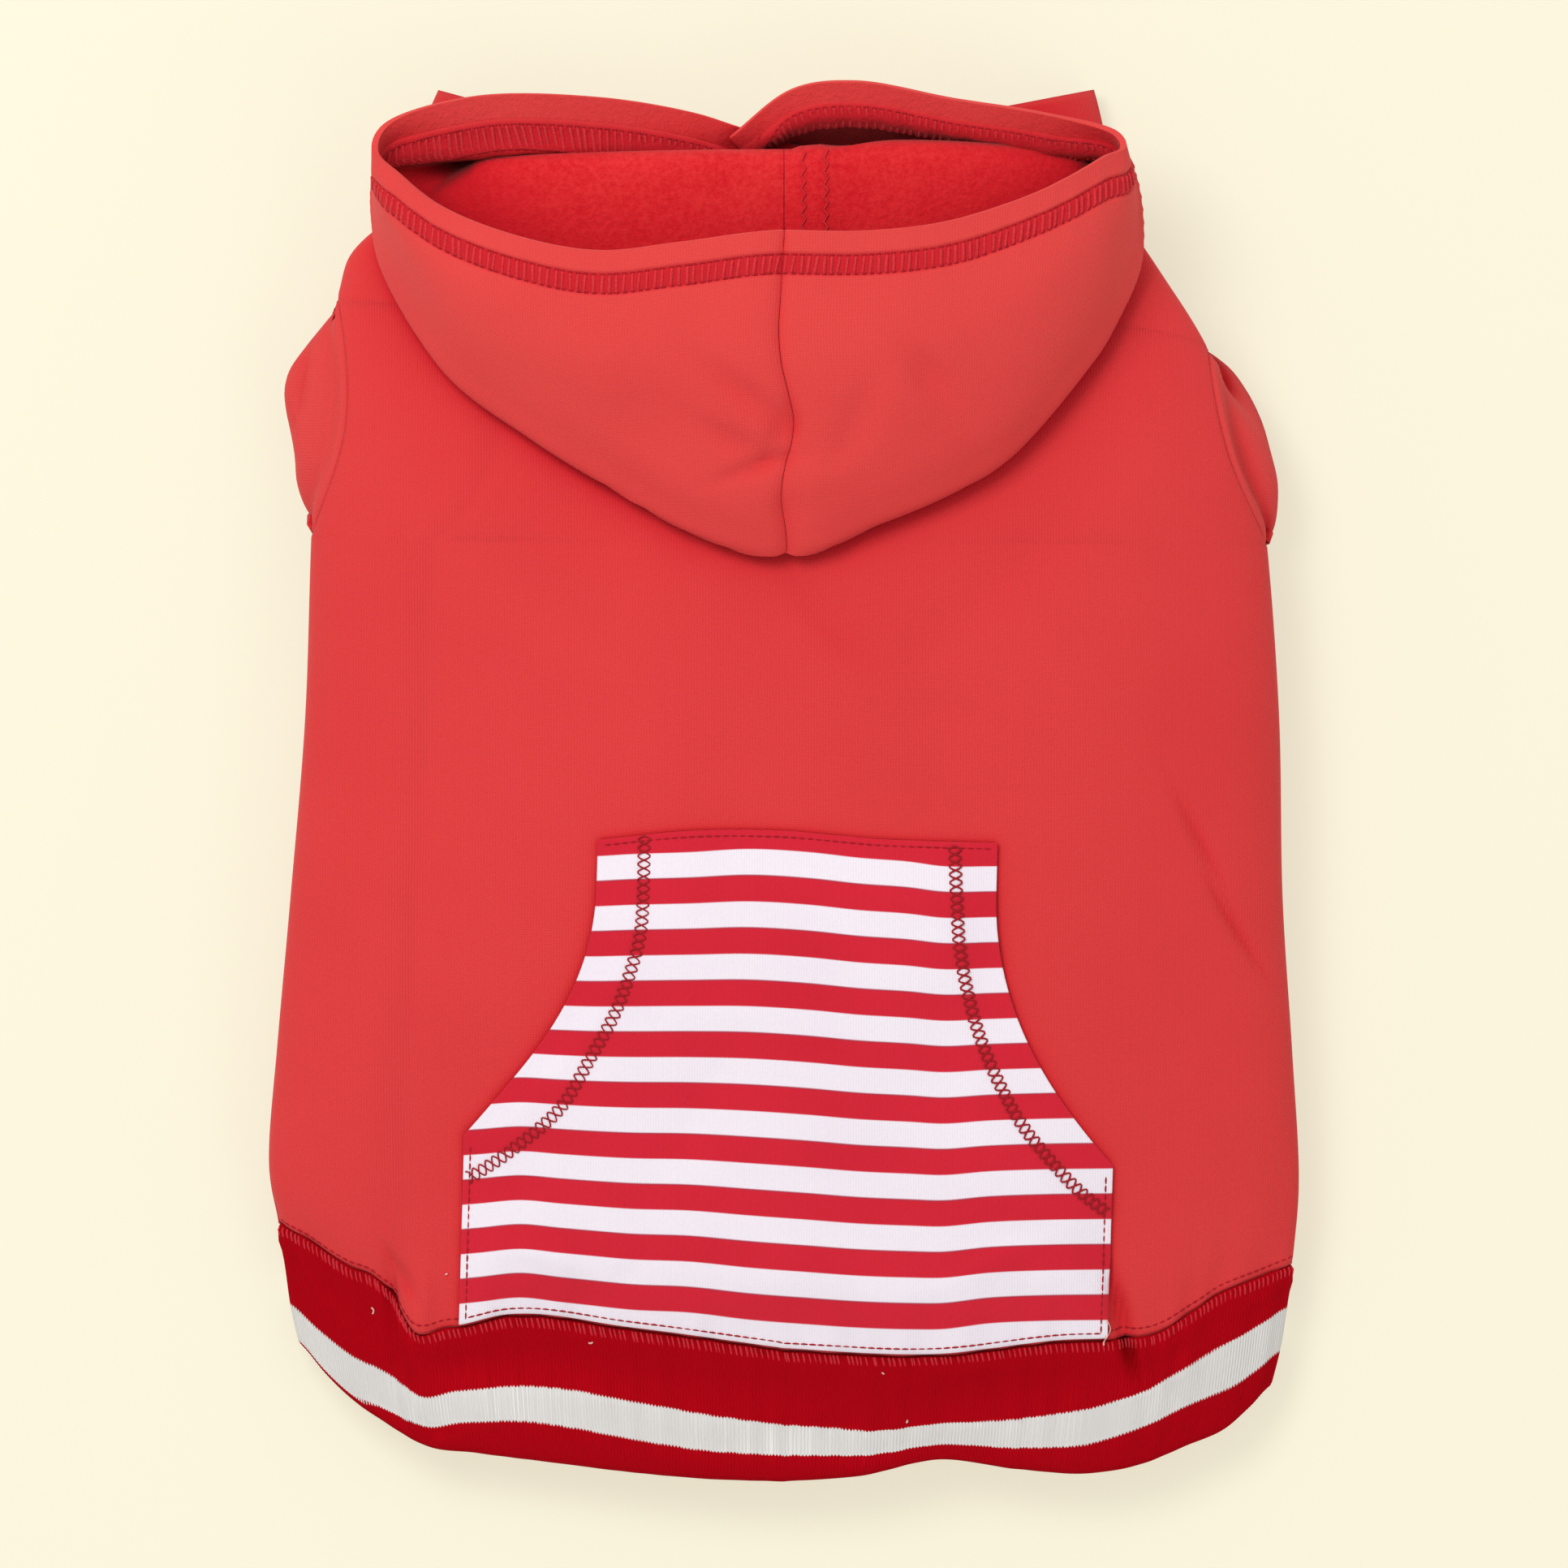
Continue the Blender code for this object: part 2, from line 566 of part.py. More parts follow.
def pocket_half(down, mouth_to):
    """Half the pocket's width at a share of its length, its curved mouth ending at mouth_to."""
    if down <= MOUTH_FROM:
        return POCKET_TOP_HALF
    opened = min((down - MOUTH_FROM) / (mouth_to - MOUTH_FROM), 1.0)
    return POCKET_TOP_HALF + (POCKET_HALF - POCKET_TOP_HALF) * opened**MOUTH_CURVE


def pocket_stations(mouth_to):
    above, along, below = POCKET_ROWS
    return np.concatenate([
        np.linspace(0, MOUTH_FROM, above + 1),
        np.linspace(MOUTH_FROM, mouth_to, along + 1)[1:],
        np.linspace(mouth_to, 1, below + 1)[1:],
    ])


def make_pocket(back_tree):
    rows = []
    for down_left, down_right in zip(pocket_stations(MOUTH_TO[0]), pocket_stations(MOUTH_TO[1])):
        left = POCKET_SHIFT * (1 - down_left) - pocket_half(down_left, MOUTH_TO[0])
        right = POCKET_SHIFT * (1 - down_right) + pocket_half(down_right, MOUTH_TO[1])
        row = []
        for share in np.linspace(0, 1, POCKET_COLUMNS + 1):
            x = left + (right - left) * share
            down = down_left + (down_right - down_left) * share
            half = ROWS["left" if x < 0 else "right"][0]
            bottom = back_point(0, math.asin(x / half) * 2 / math.pi).y + LAYER_GAP
            dip = through(TOP_DIP["across"], TOP_DIP["dip"], share)[0]
            top = ROWS["back"][0] + POCKET_LENGTH * (1 - dip)
            y = top + (bottom - top) * down
            row.append(Vector((x, y, nearest_cloth(back_tree, x, y).z + LAYER_GAP + JERSEY)))
        rows.append(row)
    return surface_mesh("pocket", rows, flip=True)


def clear_scene():
    for obj in list(bpy.data.objects):
        bpy.data.objects.remove(obj, do_unlink=True)


def middle_of(meshes):
    corners = np.array([tuple(v.co) for mesh in meshes for v in mesh.vertices])
    return (corners.min(axis=0) + corners.max(axis=0)) / 2


def main():
    clear_scene()
    fleece = material("red_fleece", (0.74, 0.055, 0.05), 0.92)
    hood_fleece = material("hood_fleece", (0.77, 0.072, 0.065), 0.92)
    sleeve_fleece = material("sleeve_fleece", (0.70, 0.05, 0.048), 0.92)
    rib = material("red_rib", (0.50, 0.005, 0.012), 0.85)
    jersey = material("striped_jersey", (0.68, 0.10, 0.14), 0.8)

    back = make_back()
    belly = make_belly()
    back_tree = tree_of(back)
    belly_tree = tree_of(belly)
    pieces = [
        (back, fleece, FLEECE),
        (belly, fleece, FLEECE),
        (make_waistband(), rib, RIB),
        (make_sleeve("left", SLEEVE_LEFT, belly_tree), sleeve_fleece, FLEECE),
        (make_sleeve("right", SLEEVE_RIGHT, belly_tree), sleeve_fleece, FLEECE),
        (make_hood("left", HOOD_LEFT, back_tree), hood_fleece, FLEECE),
        (make_hood("right", HOOD_RIGHT, back_tree), hood_fleece, FLEECE),
        (make_pocket(back_tree), jersey, JERSEY),
    ]
    garment = bpy.data.objects.new("garment", None)
    bpy.context.scene.collection.objects.link(garment)
    middle = middle_of([mesh for mesh, _, _ in pieces])
    garment.location = (-middle[0], -middle[1], 0)
    for mesh, finish, wall in pieces:
        add_piece(mesh, garment, finish, wall)


main()
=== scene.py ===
"""A dog hoodie in red fleece, lying belly down with its hood folded back, on a pale floor."""

import math

import bmesh
import bpy
import numpy as np
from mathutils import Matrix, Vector
from mathutils.bvhtree import BVHTree


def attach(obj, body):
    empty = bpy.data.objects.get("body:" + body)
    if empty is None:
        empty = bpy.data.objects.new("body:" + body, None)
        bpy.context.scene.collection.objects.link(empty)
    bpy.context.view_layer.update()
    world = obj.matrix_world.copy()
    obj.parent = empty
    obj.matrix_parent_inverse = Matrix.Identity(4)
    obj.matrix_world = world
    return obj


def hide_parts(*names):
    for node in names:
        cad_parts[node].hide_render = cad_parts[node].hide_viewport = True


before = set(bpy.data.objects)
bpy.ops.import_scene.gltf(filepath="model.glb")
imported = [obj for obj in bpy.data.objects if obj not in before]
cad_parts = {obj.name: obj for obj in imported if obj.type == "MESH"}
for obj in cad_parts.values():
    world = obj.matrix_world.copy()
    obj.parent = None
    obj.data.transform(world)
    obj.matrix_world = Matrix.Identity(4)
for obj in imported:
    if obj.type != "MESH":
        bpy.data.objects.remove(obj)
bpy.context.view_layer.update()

# The back panel: one piece of sweatshirt fleece from the nape to the waistband, smooth knitted
# face outwards and brushed side inwards, cut away at both sides for the armholes.

MIDDLE = np.array([0.0002566, 0.1751240, 0.0])  # of the garment, from the waistband's seam
BACK_LENGTH = 0.3615
CHEST_HALF = 0.150
BACK_HEIGHT = 0.051
FRONT_LIFT = 0.0165
NECK_HALF = 0.095
FLEECE = 0.002
LAYER_GAP = 0.0005
BACK_ROUND = 0.75
ARMHOLE_BACK = 0.22
ARMHOLE_ROUND = 0.55
ARMHOLE_FROM, ARMHOLE_TO = 5, 7
BACK_GRID = 221, 201  # rows along the body and columns across it
SEAM_GAP = 0.0002
KNIT = 0.0009
UP = np.array([0.0, 0.0, 1.0])
# Waves of loose cloth: the turn of each, its share of the wave's size and where it starts
SLACK_WAVES = ((0.3, 1.0, 0.4), (1.4, 0.83, 2.1), (2.3, 0.61, 4.0), (2.9, 1.37, 1.2))
BODY = {
    "back": (0.000, 0.070, 0.209, 0.375, 0.541, 0.690, 0.790, 0.889, 0.945, 1.000),
    "belly": (0.205, 0.245, 0.320, 0.430, 0.555, 0.690, 0.795, 0.895, 0.960, 1.020),
    "side_left": (0.109, 0.165, 0.264, 0.389, 0.541, 0.696, 0.798, 0.900, 0.950, 1.008),
    "side_right": (0.075, 0.148, 0.256, 0.389, 0.541, 0.687, 0.770, 0.855, 0.920, 1.008),
    "left": (1.038, 1.058, 1.040, 1.013, 0.983, 0.970, 0.955, 0.915, 0.858, None),
    "right": (1.047, 1.061, 1.047, 1.027, 1.020, 0.995, 0.965, 0.872, 0.775, None),
    "top": (0.610, 0.725, 0.865, 0.960, 1.000, 1.000, 0.965, 0.905, 0.860, 0.745),
    "seam": (0.275, 0.315, 0.355, 0.375, 0.390, 0.430, 0.490, 0.530, 0.540, 0.530),
    "under": (0.000, 0.000, 0.000, 0.000, 0.000, 0.800, 1.000, 1.000, 1.000, 1.000),
}
BODY_UNITS = {
    "back": BACK_LENGTH, "belly": BACK_LENGTH, "side_left": BACK_LENGTH,
    "side_right": BACK_LENGTH, "left": CHEST_HALF, "right": CHEST_HALF,
    "top": BACK_HEIGHT, "seam": BACK_HEIGHT, "under": FRONT_LIFT,
}
SEAM_DROP = {
    "across": (0.00, 0.30, 0.55, 0.66, 0.742, 0.77, 0.80, 0.86, 0.95, 1.00),
    "left": (0.98, 0.82, 0.72, 0.81, 0.79, 0.60, 0.44, 0.33, 0.10, 0.00),
    "right": (0.98, 1.04, 0.88, 0.85, 0.76, 0.66, 0.55, 0.32, 0.12, 0.00),
}
# Dents and folds of the back: middle, half length, half width and depth in mm, turn in degrees
BACK_MARKS = {
    "x": (13, 20, 52, 128, 139, -52, -118, -121, -112, 103.8, 96, -70, 70, -20, 95),
    "y": (55, 43, 21, -17, -44, 92, -152, -158, -163, -164.5, -150, 52, 66, -8, -110),
    "long": (16, 14, 12, 17, 17, 26, 9, 10, 14, 16, 12, 30, 30, 40, 30),
    "wide": (6, 3.6, 4.5, 1.7, 1.5, 9, 2.2, 2.0, 3.0, 2.6, 4.0, 9, 9, 16, 11),
    "turn": (-40, -38, -30, -62, -58, -38, -60, -86, 84, -76, -60, -35, 42, 5, -50),
    "deep": (1.7, 1.4, 0.8, 1.9, 1.9, 1.2, 2.0, 2.4, -1.4, 4.5, 1.2, 0.8, 0.9, -0.7, -0.8),
}
FLEECE_FACE = ((0.705, 0.046, 0.048), (0.615, 0.030, 0.034))
FLEECE_INSIDE = ((0.780, 0.034, 0.038), (0.600, 0.006, 0.014))
# Painted shade: the reds that hollows and the space under other cloth are painted, the second in
# the deepest creases
FLEECE_PAINTED_SHADE = ((0.650, 0.005, 0.016), (0.240, 0.001, 0.004))


def through(knots, values, at):
    """A smooth curve through values at knots, read at the places in at."""
    knots = np.asarray(knots, float)
    values = np.asarray(values, float)
    at = np.atleast_1d(np.asarray(at, float))
    steps = np.diff(knots)
    shape = (-1,) + (1,) * (values.ndim - 1)
    slopes = np.diff(values, axis=0) / steps.reshape(shape)
    before = steps[:-1].reshape(shape)
    after = steps[1:].reshape(shape)
    inner = (slopes[:-1] * after + slopes[1:] * before) / (before + after)
    tangents = np.concatenate([slopes[:1], inner, slopes[-1:]])
    piece = np.clip(np.searchsorted(knots, at, side="right") - 1, 0, len(steps) - 1)
    grown = at.shape + (1,) * (values.ndim - 1)
    step = steps[piece].reshape(grown)
    t = ((at - knots[piece]) / steps[piece]).reshape(grown)
    start, end = values[piece], values[piece + 1]
    pull, push = tangents[piece] * step, tangents[piece + 1] * step
    return (
        start * (2 * t**3 - 3 * t**2 + 1)
        + pull * (t**3 - 2 * t**2 + t)
        + end * (3 * t**2 - 2 * t**3)
        + push * (t**3 - t**2)
    )


def body_at(places):
    """Each column of BODY in metres, as a column of numbers, from the waist, 0, to the neck, 9."""
    rows = {}
    for name, unit in BODY_UNITS.items():
        column = [NECK_HALF / unit if share is None else share for share in BODY[name]]
        rows[name] = through(range(len(column)), np.array(column) * unit, places)[:, None]
    flat = np.asarray(places)[:, None] <= ARMHOLE_FROM - 1
    rows["under"] = np.where(flat, 0, np.clip(rows["under"], 0, FRONT_LIFT))
    return rows


WAIST = {name: values[0, 0] for name, values in body_at(np.array([0.0])).items()}


def read_at(table, knots, name, at):
    """One column of a table by another one, read over a grid of places."""
    return through(table[knots], table[name], at.ravel()).reshape(at.shape)


def dropped(table, turn):
    """How far a line across the back has dropped from its side, 0, to its middle, 1."""
    reach = np.abs(np.sin(turn))
    left, right = (read_at(table, "across", side, reach) for side in ("left", "right"))
    return np.where(turn < 0, left, right)


def sided(turn, rows, left, right):
    """One column left of the garment's middle and another right of it."""
    return np.where(turn < 0, rows[left], rows[right])


def back_points(places, shares):
    """Points of the back's outer face: places along the body by shares across, -1 to 1."""
    rows = body_at(places)
    turn = shares * math.pi / 2
    side = sided(turn, rows, "side_left", "side_right")
    by_seam = np.clip(1 - 0.6 * np.asarray(places), 0, 1)[:, None]
    drop = np.cos(turn) + (dropped(SEAM_DROP, turn) - np.cos(turn)) * by_seam
    rise = np.clip(np.cos(turn), 0, 1) ** BACK_ROUND
    x = sided(turn, rows, "left", "right") * np.sin(turn)
    y = side + (rows["back"] - side) * drop
    z = rows["seam"] + (rows["top"] - rows["seam"]) * rise
    return np.stack([x, y, z], axis=-1) - MIDDLE


def armhole_share(places):
    """0 at both ends of the armhole and outside it, 1 at its middle."""
    along = (np.asarray(places, float) - ARMHOLE_FROM) / (ARMHOLE_TO - ARMHOLE_FROM)
    return np.clip(np.sin(np.pi * np.clip(along, 0, 1)), 0, 1) ** ARMHOLE_ROUND
def across_panel(places, columns, cut):
    """Shares across a panel, -1 to 1, less what its armholes take away."""
    return np.linspace(-1, 1, columns)[None, :] * (1 - cut * armhole_share(places))[:, None]

def cloth_normals(points, flip=False):
    """Directions square to a grid of points, out of the garment."""
    square = np.cross(np.gradient(points, axis=1), np.gradient(points, axis=0))
    square /= np.maximum(np.linalg.norm(square, axis=-1, keepdims=True), 1e-12)
    return -square if flip else square


def lengths_along(points, axis):
    """How far each point of a grid lies from its first row or column, along the cloth."""
    steps = np.linalg.norm(np.diff(points, axis=axis), axis=-1)
    return np.insert(np.cumsum(steps, axis=axis), 0, 0, axis=axis)
def to_edges(over):
    """How far each point of a grid lies from the nearer end of its row."""
    return np.minimum(over, over[:, -1:] - over)


def hump(distance, width):
    """1 on a line, falling off softly at both sides of it."""
    return np.exp(-((distance / width) ** 2))

def rolled(distance, reach, depth):
    """How far cloth rolls down into a seam at a distance from it."""
    left = np.clip(1 - distance / reach, 0, 1)
    return depth * (1 - np.sqrt(1 - left**2))


def marked(points, marks):
    """Depth of a table of dents and folds at each point, seen from above."""
    depth = np.zeros(points.shape[:-1])
    for x, y, long, wide, turn, deep in zip(*marks.values()):
        angle = math.radians(turn)
        dx, dy = points[..., 0] * 1000 - x, points[..., 1] * 1000 - y
        along = (dx * math.cos(angle) + dy * math.sin(angle)) / long
        aside = (dy * math.cos(angle) - dx * math.sin(angle)) / wide
        depth += deep / 1000 * np.exp(-(along**2) - aside**2 * (1 + along**2))
    return depth


def slack(points, height, size=0.05):
    """Soft uneven waves of cloth that lies without tension."""
    wave = np.zeros(points.shape[:-1])
    for turn, share, start in SLACK_WAVES:
        way = points[..., 0] * math.cos(turn) + points[..., 1] * math.sin(turn)
        cross = points[..., 1] * math.cos(turn) - points[..., 0] * math.sin(turn)
        wave += np.sin(way / size * 2 * math.pi * share + start + 1.3 * np.sin(cross / size * 2.2))
    return wave * height / 4


def cloth_mesh(name, points, across, along, closed=False, flip=False):
    """A sheet over a grid of points, with its own measure across and along on its UV map."""
    rows, columns = points.shape[0] - 1, points.shape[1] - 1
    bm = bmesh.new()
    bmesh.ops.create_grid(bm, x_segments=columns, y_segments=rows, size=1)
    mesh = bpy.data.meshes.new(name)
    bm.to_mesh(mesh)
    bm.free()
    place = np.empty(len(mesh.vertices) * 3)
    mesh.vertices.foreach_get("co", place)
    place = place.reshape(-1, 3)
    column = np.rint((place[:, 0] + 1) / 2 * columns).astype(int)
    row = np.rint((place[:, 1] + 1) / 2 * rows).astype(int)
    mesh.vertices.foreach_set("co", points[row, column].ravel())
    corner = np.empty(len(mesh.loops), dtype=np.int32)
    mesh.loops.foreach_get("vertex_index", corner)
    measure = np.stack([across[row, column], along[row, column]], axis=-1)[corner]
    mesh.uv_layers.new(name="cloth").data.foreach_set("uv", measure.ravel())
    bm = bmesh.new()
    bm.from_mesh(mesh)
    if closed:
        bmesh.ops.remove_doubles(bm, verts=bm.verts, dist=1e-6)
    if flip:
        bmesh.ops.reverse_faces(bm, faces=bm.faces)
    for face in bm.faces:
        face.smooth = True
    bm.to_mesh(mesh)
    bm.free()
    return mesh


def placed(name, data):
    """An object in the scene."""
    thing = bpy.data.objects.new(name, data)
    bpy.context.scene.collection.objects.link(thing)
    return thing


def cut_piece(mesh, wall, finishes, rim=0.0):
    """A piece of cloth: the outer face, its wall inwards, and a soft round rim."""
    piece = placed(mesh.name, mesh)
    for finish in finishes:
        mesh.materials.append(finish)
    thickness = piece.modifiers.new("wall", "SOLIDIFY")
    thickness.thickness = wall
    thickness.offset = -1
    thickness.material_offset = len(finishes) - 1
    if rim:
        soft = piece.modifiers.new("rim", "BEVEL")
        soft.width = rim
        soft.segments = 3
        soft.limit_method = "ANGLE"
        soft.angle_limit = math.radians(65)
    return piece


def tree_of(mesh):
    """A mesh's faces, sorted so that a ray or the nearest point is found fast."""
    bm = bmesh.new()
    bm.from_mesh(mesh)
    tree = BVHTree.FromBMesh(bm)
    bm.free()
    return tree


class Finish:
    """A cloth material: a shader, and the nodes that are added to it by kind."""

    def __init__(self, name, roughness, sheen, tint=(1.0, 0.45, 0.43), specular=0.25):
        self.material = bpy.data.materials.new(name)
        self.material.use_nodes = True
        self.nodes = self.material.node_tree.nodes
        self.links = self.material.node_tree.links
        self.shader = self.nodes["Principled BSDF"]
        self.give(self.shader, {
            "Roughness": roughness, "Specular IOR Level": specular, "Sheen Weight": sheen,
            "Sheen Roughness": 0.45, "Sheen Tint": tint,
        })
        self.place = self.nodes.new("ShaderNodeTexCoord").outputs["Object"]
        cloth = self.nodes.new("ShaderNodeUVMap")
        cloth.uv_map = "cloth"
        self.cloth = cloth.outputs["UV"]

    def give(self, node, inputs):
        """A number, a colour or another node's output for each named input."""
        for name, value in inputs.items():
            if isinstance(value, bpy.types.NodeSocket):
                self.links.new(value, node.inputs[name])
            else:
                node.inputs[name].default_value = (*value, 1) if isinstance(value, tuple) else value

    def add(self, kind, inputs, **settings):
        """A new node, its own settings made before its inputs are given."""
        node = self.nodes.new(f"ShaderNode{kind}")
        for name, value in settings.items():
            setattr(node, name, value)
        self.give(node, inputs)
        return node

    def noise(self, scale, detail=2.0, roughness=0.5):
        values = {"Scale": scale, "Detail": detail, "Roughness": roughness, "Vector": self.place}
        return self.add("TexNoise", values).outputs["Fac"]

    def rows(self, period, direction="X", waver=0.0):
        """Fine ridges across the cloth's own measure."""
        values = {"Scale": math.pi / 10 / period, "Distortion": waver, "Vector": self.cloth}
        return self.add("TexWave", values, bands_direction=direction).outputs["Fac"]

    def measure(self):
        """The cloth's own measure along its length."""
        return self.add("SeparateXYZ", {"Vector": self.cloth}).outputs["Y"]

    def sum(self, kind, first, second):
        return self.add("Math", {0: first, 1: second}, operation=kind).outputs[0]

    def weighted(self, *parts):
        """The sum of values, each times its weight."""
        total, *others = [self.sum("MULTIPLY", value, weight) for value, weight in parts]
        for other in others:
            total = self.sum("ADD", total, other)
        return total

    def steps(self, value, *stops):
        """A ramp of greys over a value."""
        node = self.add("ValToRGB", {"Fac": value})
        ramp = node.color_ramp.elements
        while len(ramp) < len(stops):
            ramp.new(0.5)
        for element, (at, grey) in zip(ramp, stops):
            element.position = at
            element.color = (grey, grey, grey, 1)
        return node.outputs["Color"]

    def blend(self, amount, first, second):
        return self.add("Mix", {0: amount, 6: first, 7: second}, data_type="RGBA").outputs[2]

    def painted_shade(self, plain, painted_shades, reach=0.045):
        """Painted shade: deeper reds painted in hollows and under other cloth, and the deepest in
        creases.
        """
        openness = self.add("AmbientOcclusion", {"Distance": reach}, samples=4).outputs["AO"]
        crease = self.steps(openness, (0.18, 0.0), (0.52, 1.0))
        open_cloth = self.steps(openness, (0.48, 0.0), (0.96, 1.0))
        return self.blend(open_cloth, self.blend(crease, painted_shades[1], painted_shades[0]), plain)

    def colour(self, socket):
        self.give(self.shader, {"Base Color": socket})

    def raise_by(self, height, distance, strength):
        values = {"Strength": strength, "Distance": distance, "Height": height}
        self.give(self.shader, {"Normal": self.add("Bump", values).outputs["Normal"]})


def fleece_colour(finish, colours):
    """The knitted face: broad faded areas, fine flecks and columns of stitches, with painted shade
    in hollows and creases.
    """
    broad = finish.steps(finish.noise(14, 3), (0.35, 0.0), (0.70, 1.0))
    fleck = finish.steps(finish.noise(1500, 2, 0.7), (0.35, 0.0), (0.75, 1.0))
    amount = finish.weighted((broad, 0.35), (fleck, 0.35), (finish.rows(KNIT, "X", 0.6), 0.14))
    return finish.painted_shade(finish.blend(amount, *colours), FLEECE_PAINTED_SHADE)


def fleece_finish(name, colours):
    """The knitted face, its fine columns, courses and grain raised."""
    finish = Finish(name, 0.95, 0.18)
    finish.colour(fleece_colour(finish, colours))
    ridges = finish.rows(KNIT, "X", 0.6), finish.rows(KNIT * 0.8, "Y", 0.6)
    height = finish.sum("ADD", finish.sum("MULTIPLY", *ridges), finish.noise(1700, 3, 0.7))
    finish.raise_by(height, 0.00018, 0.7)
    return finish


def brushed_finish(name, colours):
    """The brushed side: short raised nap in soft lumps, with lighter tips, and painted shade in
    hollows and creases.
    """
    light, dark = colours
    finish = Finish(name, 1.0, 0.15)
    nap = finish.noise(520, 4, 0.75)
    tips = finish.steps(nap, (0.38, 0.0), (0.62, 1.0))
    patches = finish.steps(finish.noise(40, 3), (0.35, 0.0), (0.7, 0.5))
    amount = finish.weighted((patches, 0.5), (tips, 0.55))
    finish.colour(finish.painted_shade(finish.blend(amount, dark, light), FLEECE_PAINTED_SHADE))
    finish.raise_by(nap, 0.0009, 0.9)
    return finish


face = fleece_finish("fleece_face", FLEECE_FACE)
inside = brushed_finish("fleece_brushed", FLEECE_INSIDE)

places = np.linspace(0, 9, BACK_GRID[0])
back_sheet = back_points(places, across_panel(places, BACK_GRID[1], ARMHOLE_BACK))
back_out = cloth_normals(back_sheet)
from_waist = lengths_along(back_sheet, 0)
over = lengths_along(back_sheet, 1)
to_side = to_edges(over)
by_armhole = (places > ARMHOLE_FROM - 0.1) & (places < ARMHOLE_TO + 0.1)
side_roll = np.where(by_armhole, 1.0, 0.35)[:, None]
sink = rolled(from_waist, 0.0030, 0.0006) + rolled(to_side, 0.0030, 0.0006) * side_roll
sink += marked(back_sheet, BACK_MARKS)
# Gathers above the waist seam
gather = np.sin(over / 0.0135 * 2 * math.pi + 1.2 * np.sin(over / 0.05 * 2 * math.pi))
gather += 0.7 * np.sin(over / 0.0217 * 2 * math.pi + 1.0)
sink += gather * 0.0003 * np.exp(-from_waist / 0.016)
# Slack, less towards the seams; its distance from the sides is smoothed from row to row
spread = hump(np.arange(-12, 13), 6.0)
padded = np.pad(to_side, ((12, 12), (0, 0)), mode="edge")
near_side = [np.convolve(column, spread / spread.sum(), "valid") for column in padded.T]
loose = np.clip(np.array(near_side).T / 0.03, 0, 1)
loose = loose * np.clip(to_side / 0.008, 0, 1) * np.clip(from_waist / 0.02, 0, 1)
sink += slack(back_sheet, 0.0011, 0.085) * loose
back_sheet = back_sheet - back_out * sink[..., None]
from_middle = over - over[:, BACK_GRID[1] // 2, None]
back_mesh = cloth_mesh("back_cloth", back_sheet, from_middle, from_waist)
back_tree = tree_of(back_mesh)
back = cut_piece(back_mesh, FLEECE, [face.material, inside.material])
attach(back, "root")
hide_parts("back_panel")

# The belly panel: the same fleece, shorter at the tail end, flat on the ground behind the sleeves
# and lifted over them at the chest. Side seams join it to the back.

BELLY_FLAT = 0.72
ARMHOLE_BELLY = 0.42
BELLY_GRID = 111, 97
SIDE_TUCK = 0.0003  # how far the side seams' edges lie below the back's


def belly_section(share):
    """The turn across the belly, and its lift: 0 where it lies flat, 1 at the side seam."""
    reach = np.abs(share)
    past = np.clip(reach - BELLY_FLAT, 0, None) / (1 - BELLY_FLAT) * math.pi / 2
    reached = np.minimum(reach, BELLY_FLAT) + (1 - BELLY_FLAT) * np.sin(past)
    return np.copysign(reached * math.pi / 2, share), 1 - np.cos(past)


def belly_points(places, shares):
    """Points of the belly's outer face, which faces down."""
    rows = body_at(places)
    turn, lift = belly_section(shares)
    side = sided(turn, rows, "side_left", "side_right")
    x = sided(turn, rows, "left", "right") * np.sin(turn)
    y = side + (rows["belly"] - side) * np.cos(turn)
    z = rows["under"] + (rows["seam"] - rows["under"]) * lift
    return np.stack([x, y, z], axis=-1) - MIDDLE


places = np.linspace(0, 9, BELLY_GRID[0])
belly_sheet = belly_points(places, across_panel(places, BELLY_GRID[1], ARMHOLE_BELLY))
belly_sheet[:, [0, -1], 2] -= SIDE_TUCK
over = lengths_along(belly_sheet, 1)
loose = np.clip(to_edges(over) / 0.03, 0, 1)
belly_sheet[..., 2] += np.abs(slack(belly_sheet, 0.0012, 0.07)) * loose
from_middle = over - over[:, BELLY_GRID[1] // 2, None]
from_waist = lengths_along(belly_sheet, 0)
belly_mesh = cloth_mesh("belly_cloth", belly_sheet, from_middle, from_waist, flip=True)
belly_tree = tree_of(belly_mesh)
belly = cut_piece(belly_mesh, FLEECE, [face.material, inside.material])
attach(belly, "root")
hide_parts("belly_panel")

# The waistband: a tube of fine rib knitted in dark red with one white stripe, folded double at
# its lower edge and overlocked to the two panels. It is longer over the back than at the belly.

RIB_DEPTH = 0.040
RIB = 0.0022
RIB_PITCH = 0.00102
EDGE_DROP = {
    "across": (0.00, 0.16, 0.32, 0.48, 0.64, 0.74, 0.82, 0.92, 1.00),
    "left": (1.00, 0.98, 0.93, 0.86, 0.79, 0.74, 0.58, 0.32, 0.00),
    "right": (1.00, 0.94, 0.77, 0.87, 0.91, 0.81, 0.64, 0.40, 0.00),
}
WAISTBAND = {
    "down": (0.0, 0.35, 0.70, 1.0),
    "left": (1.038, 1.024, 1.012, 0.995),
    "right": (1.047, 1.036, 1.022, 1.003),
    "top": (0.610, 0.570, 0.520, 0.470),
    "seam": (0.275, 0.260, 0.240, 0.220),
}
SIDE_DEPTH = (0.93, 0.95)
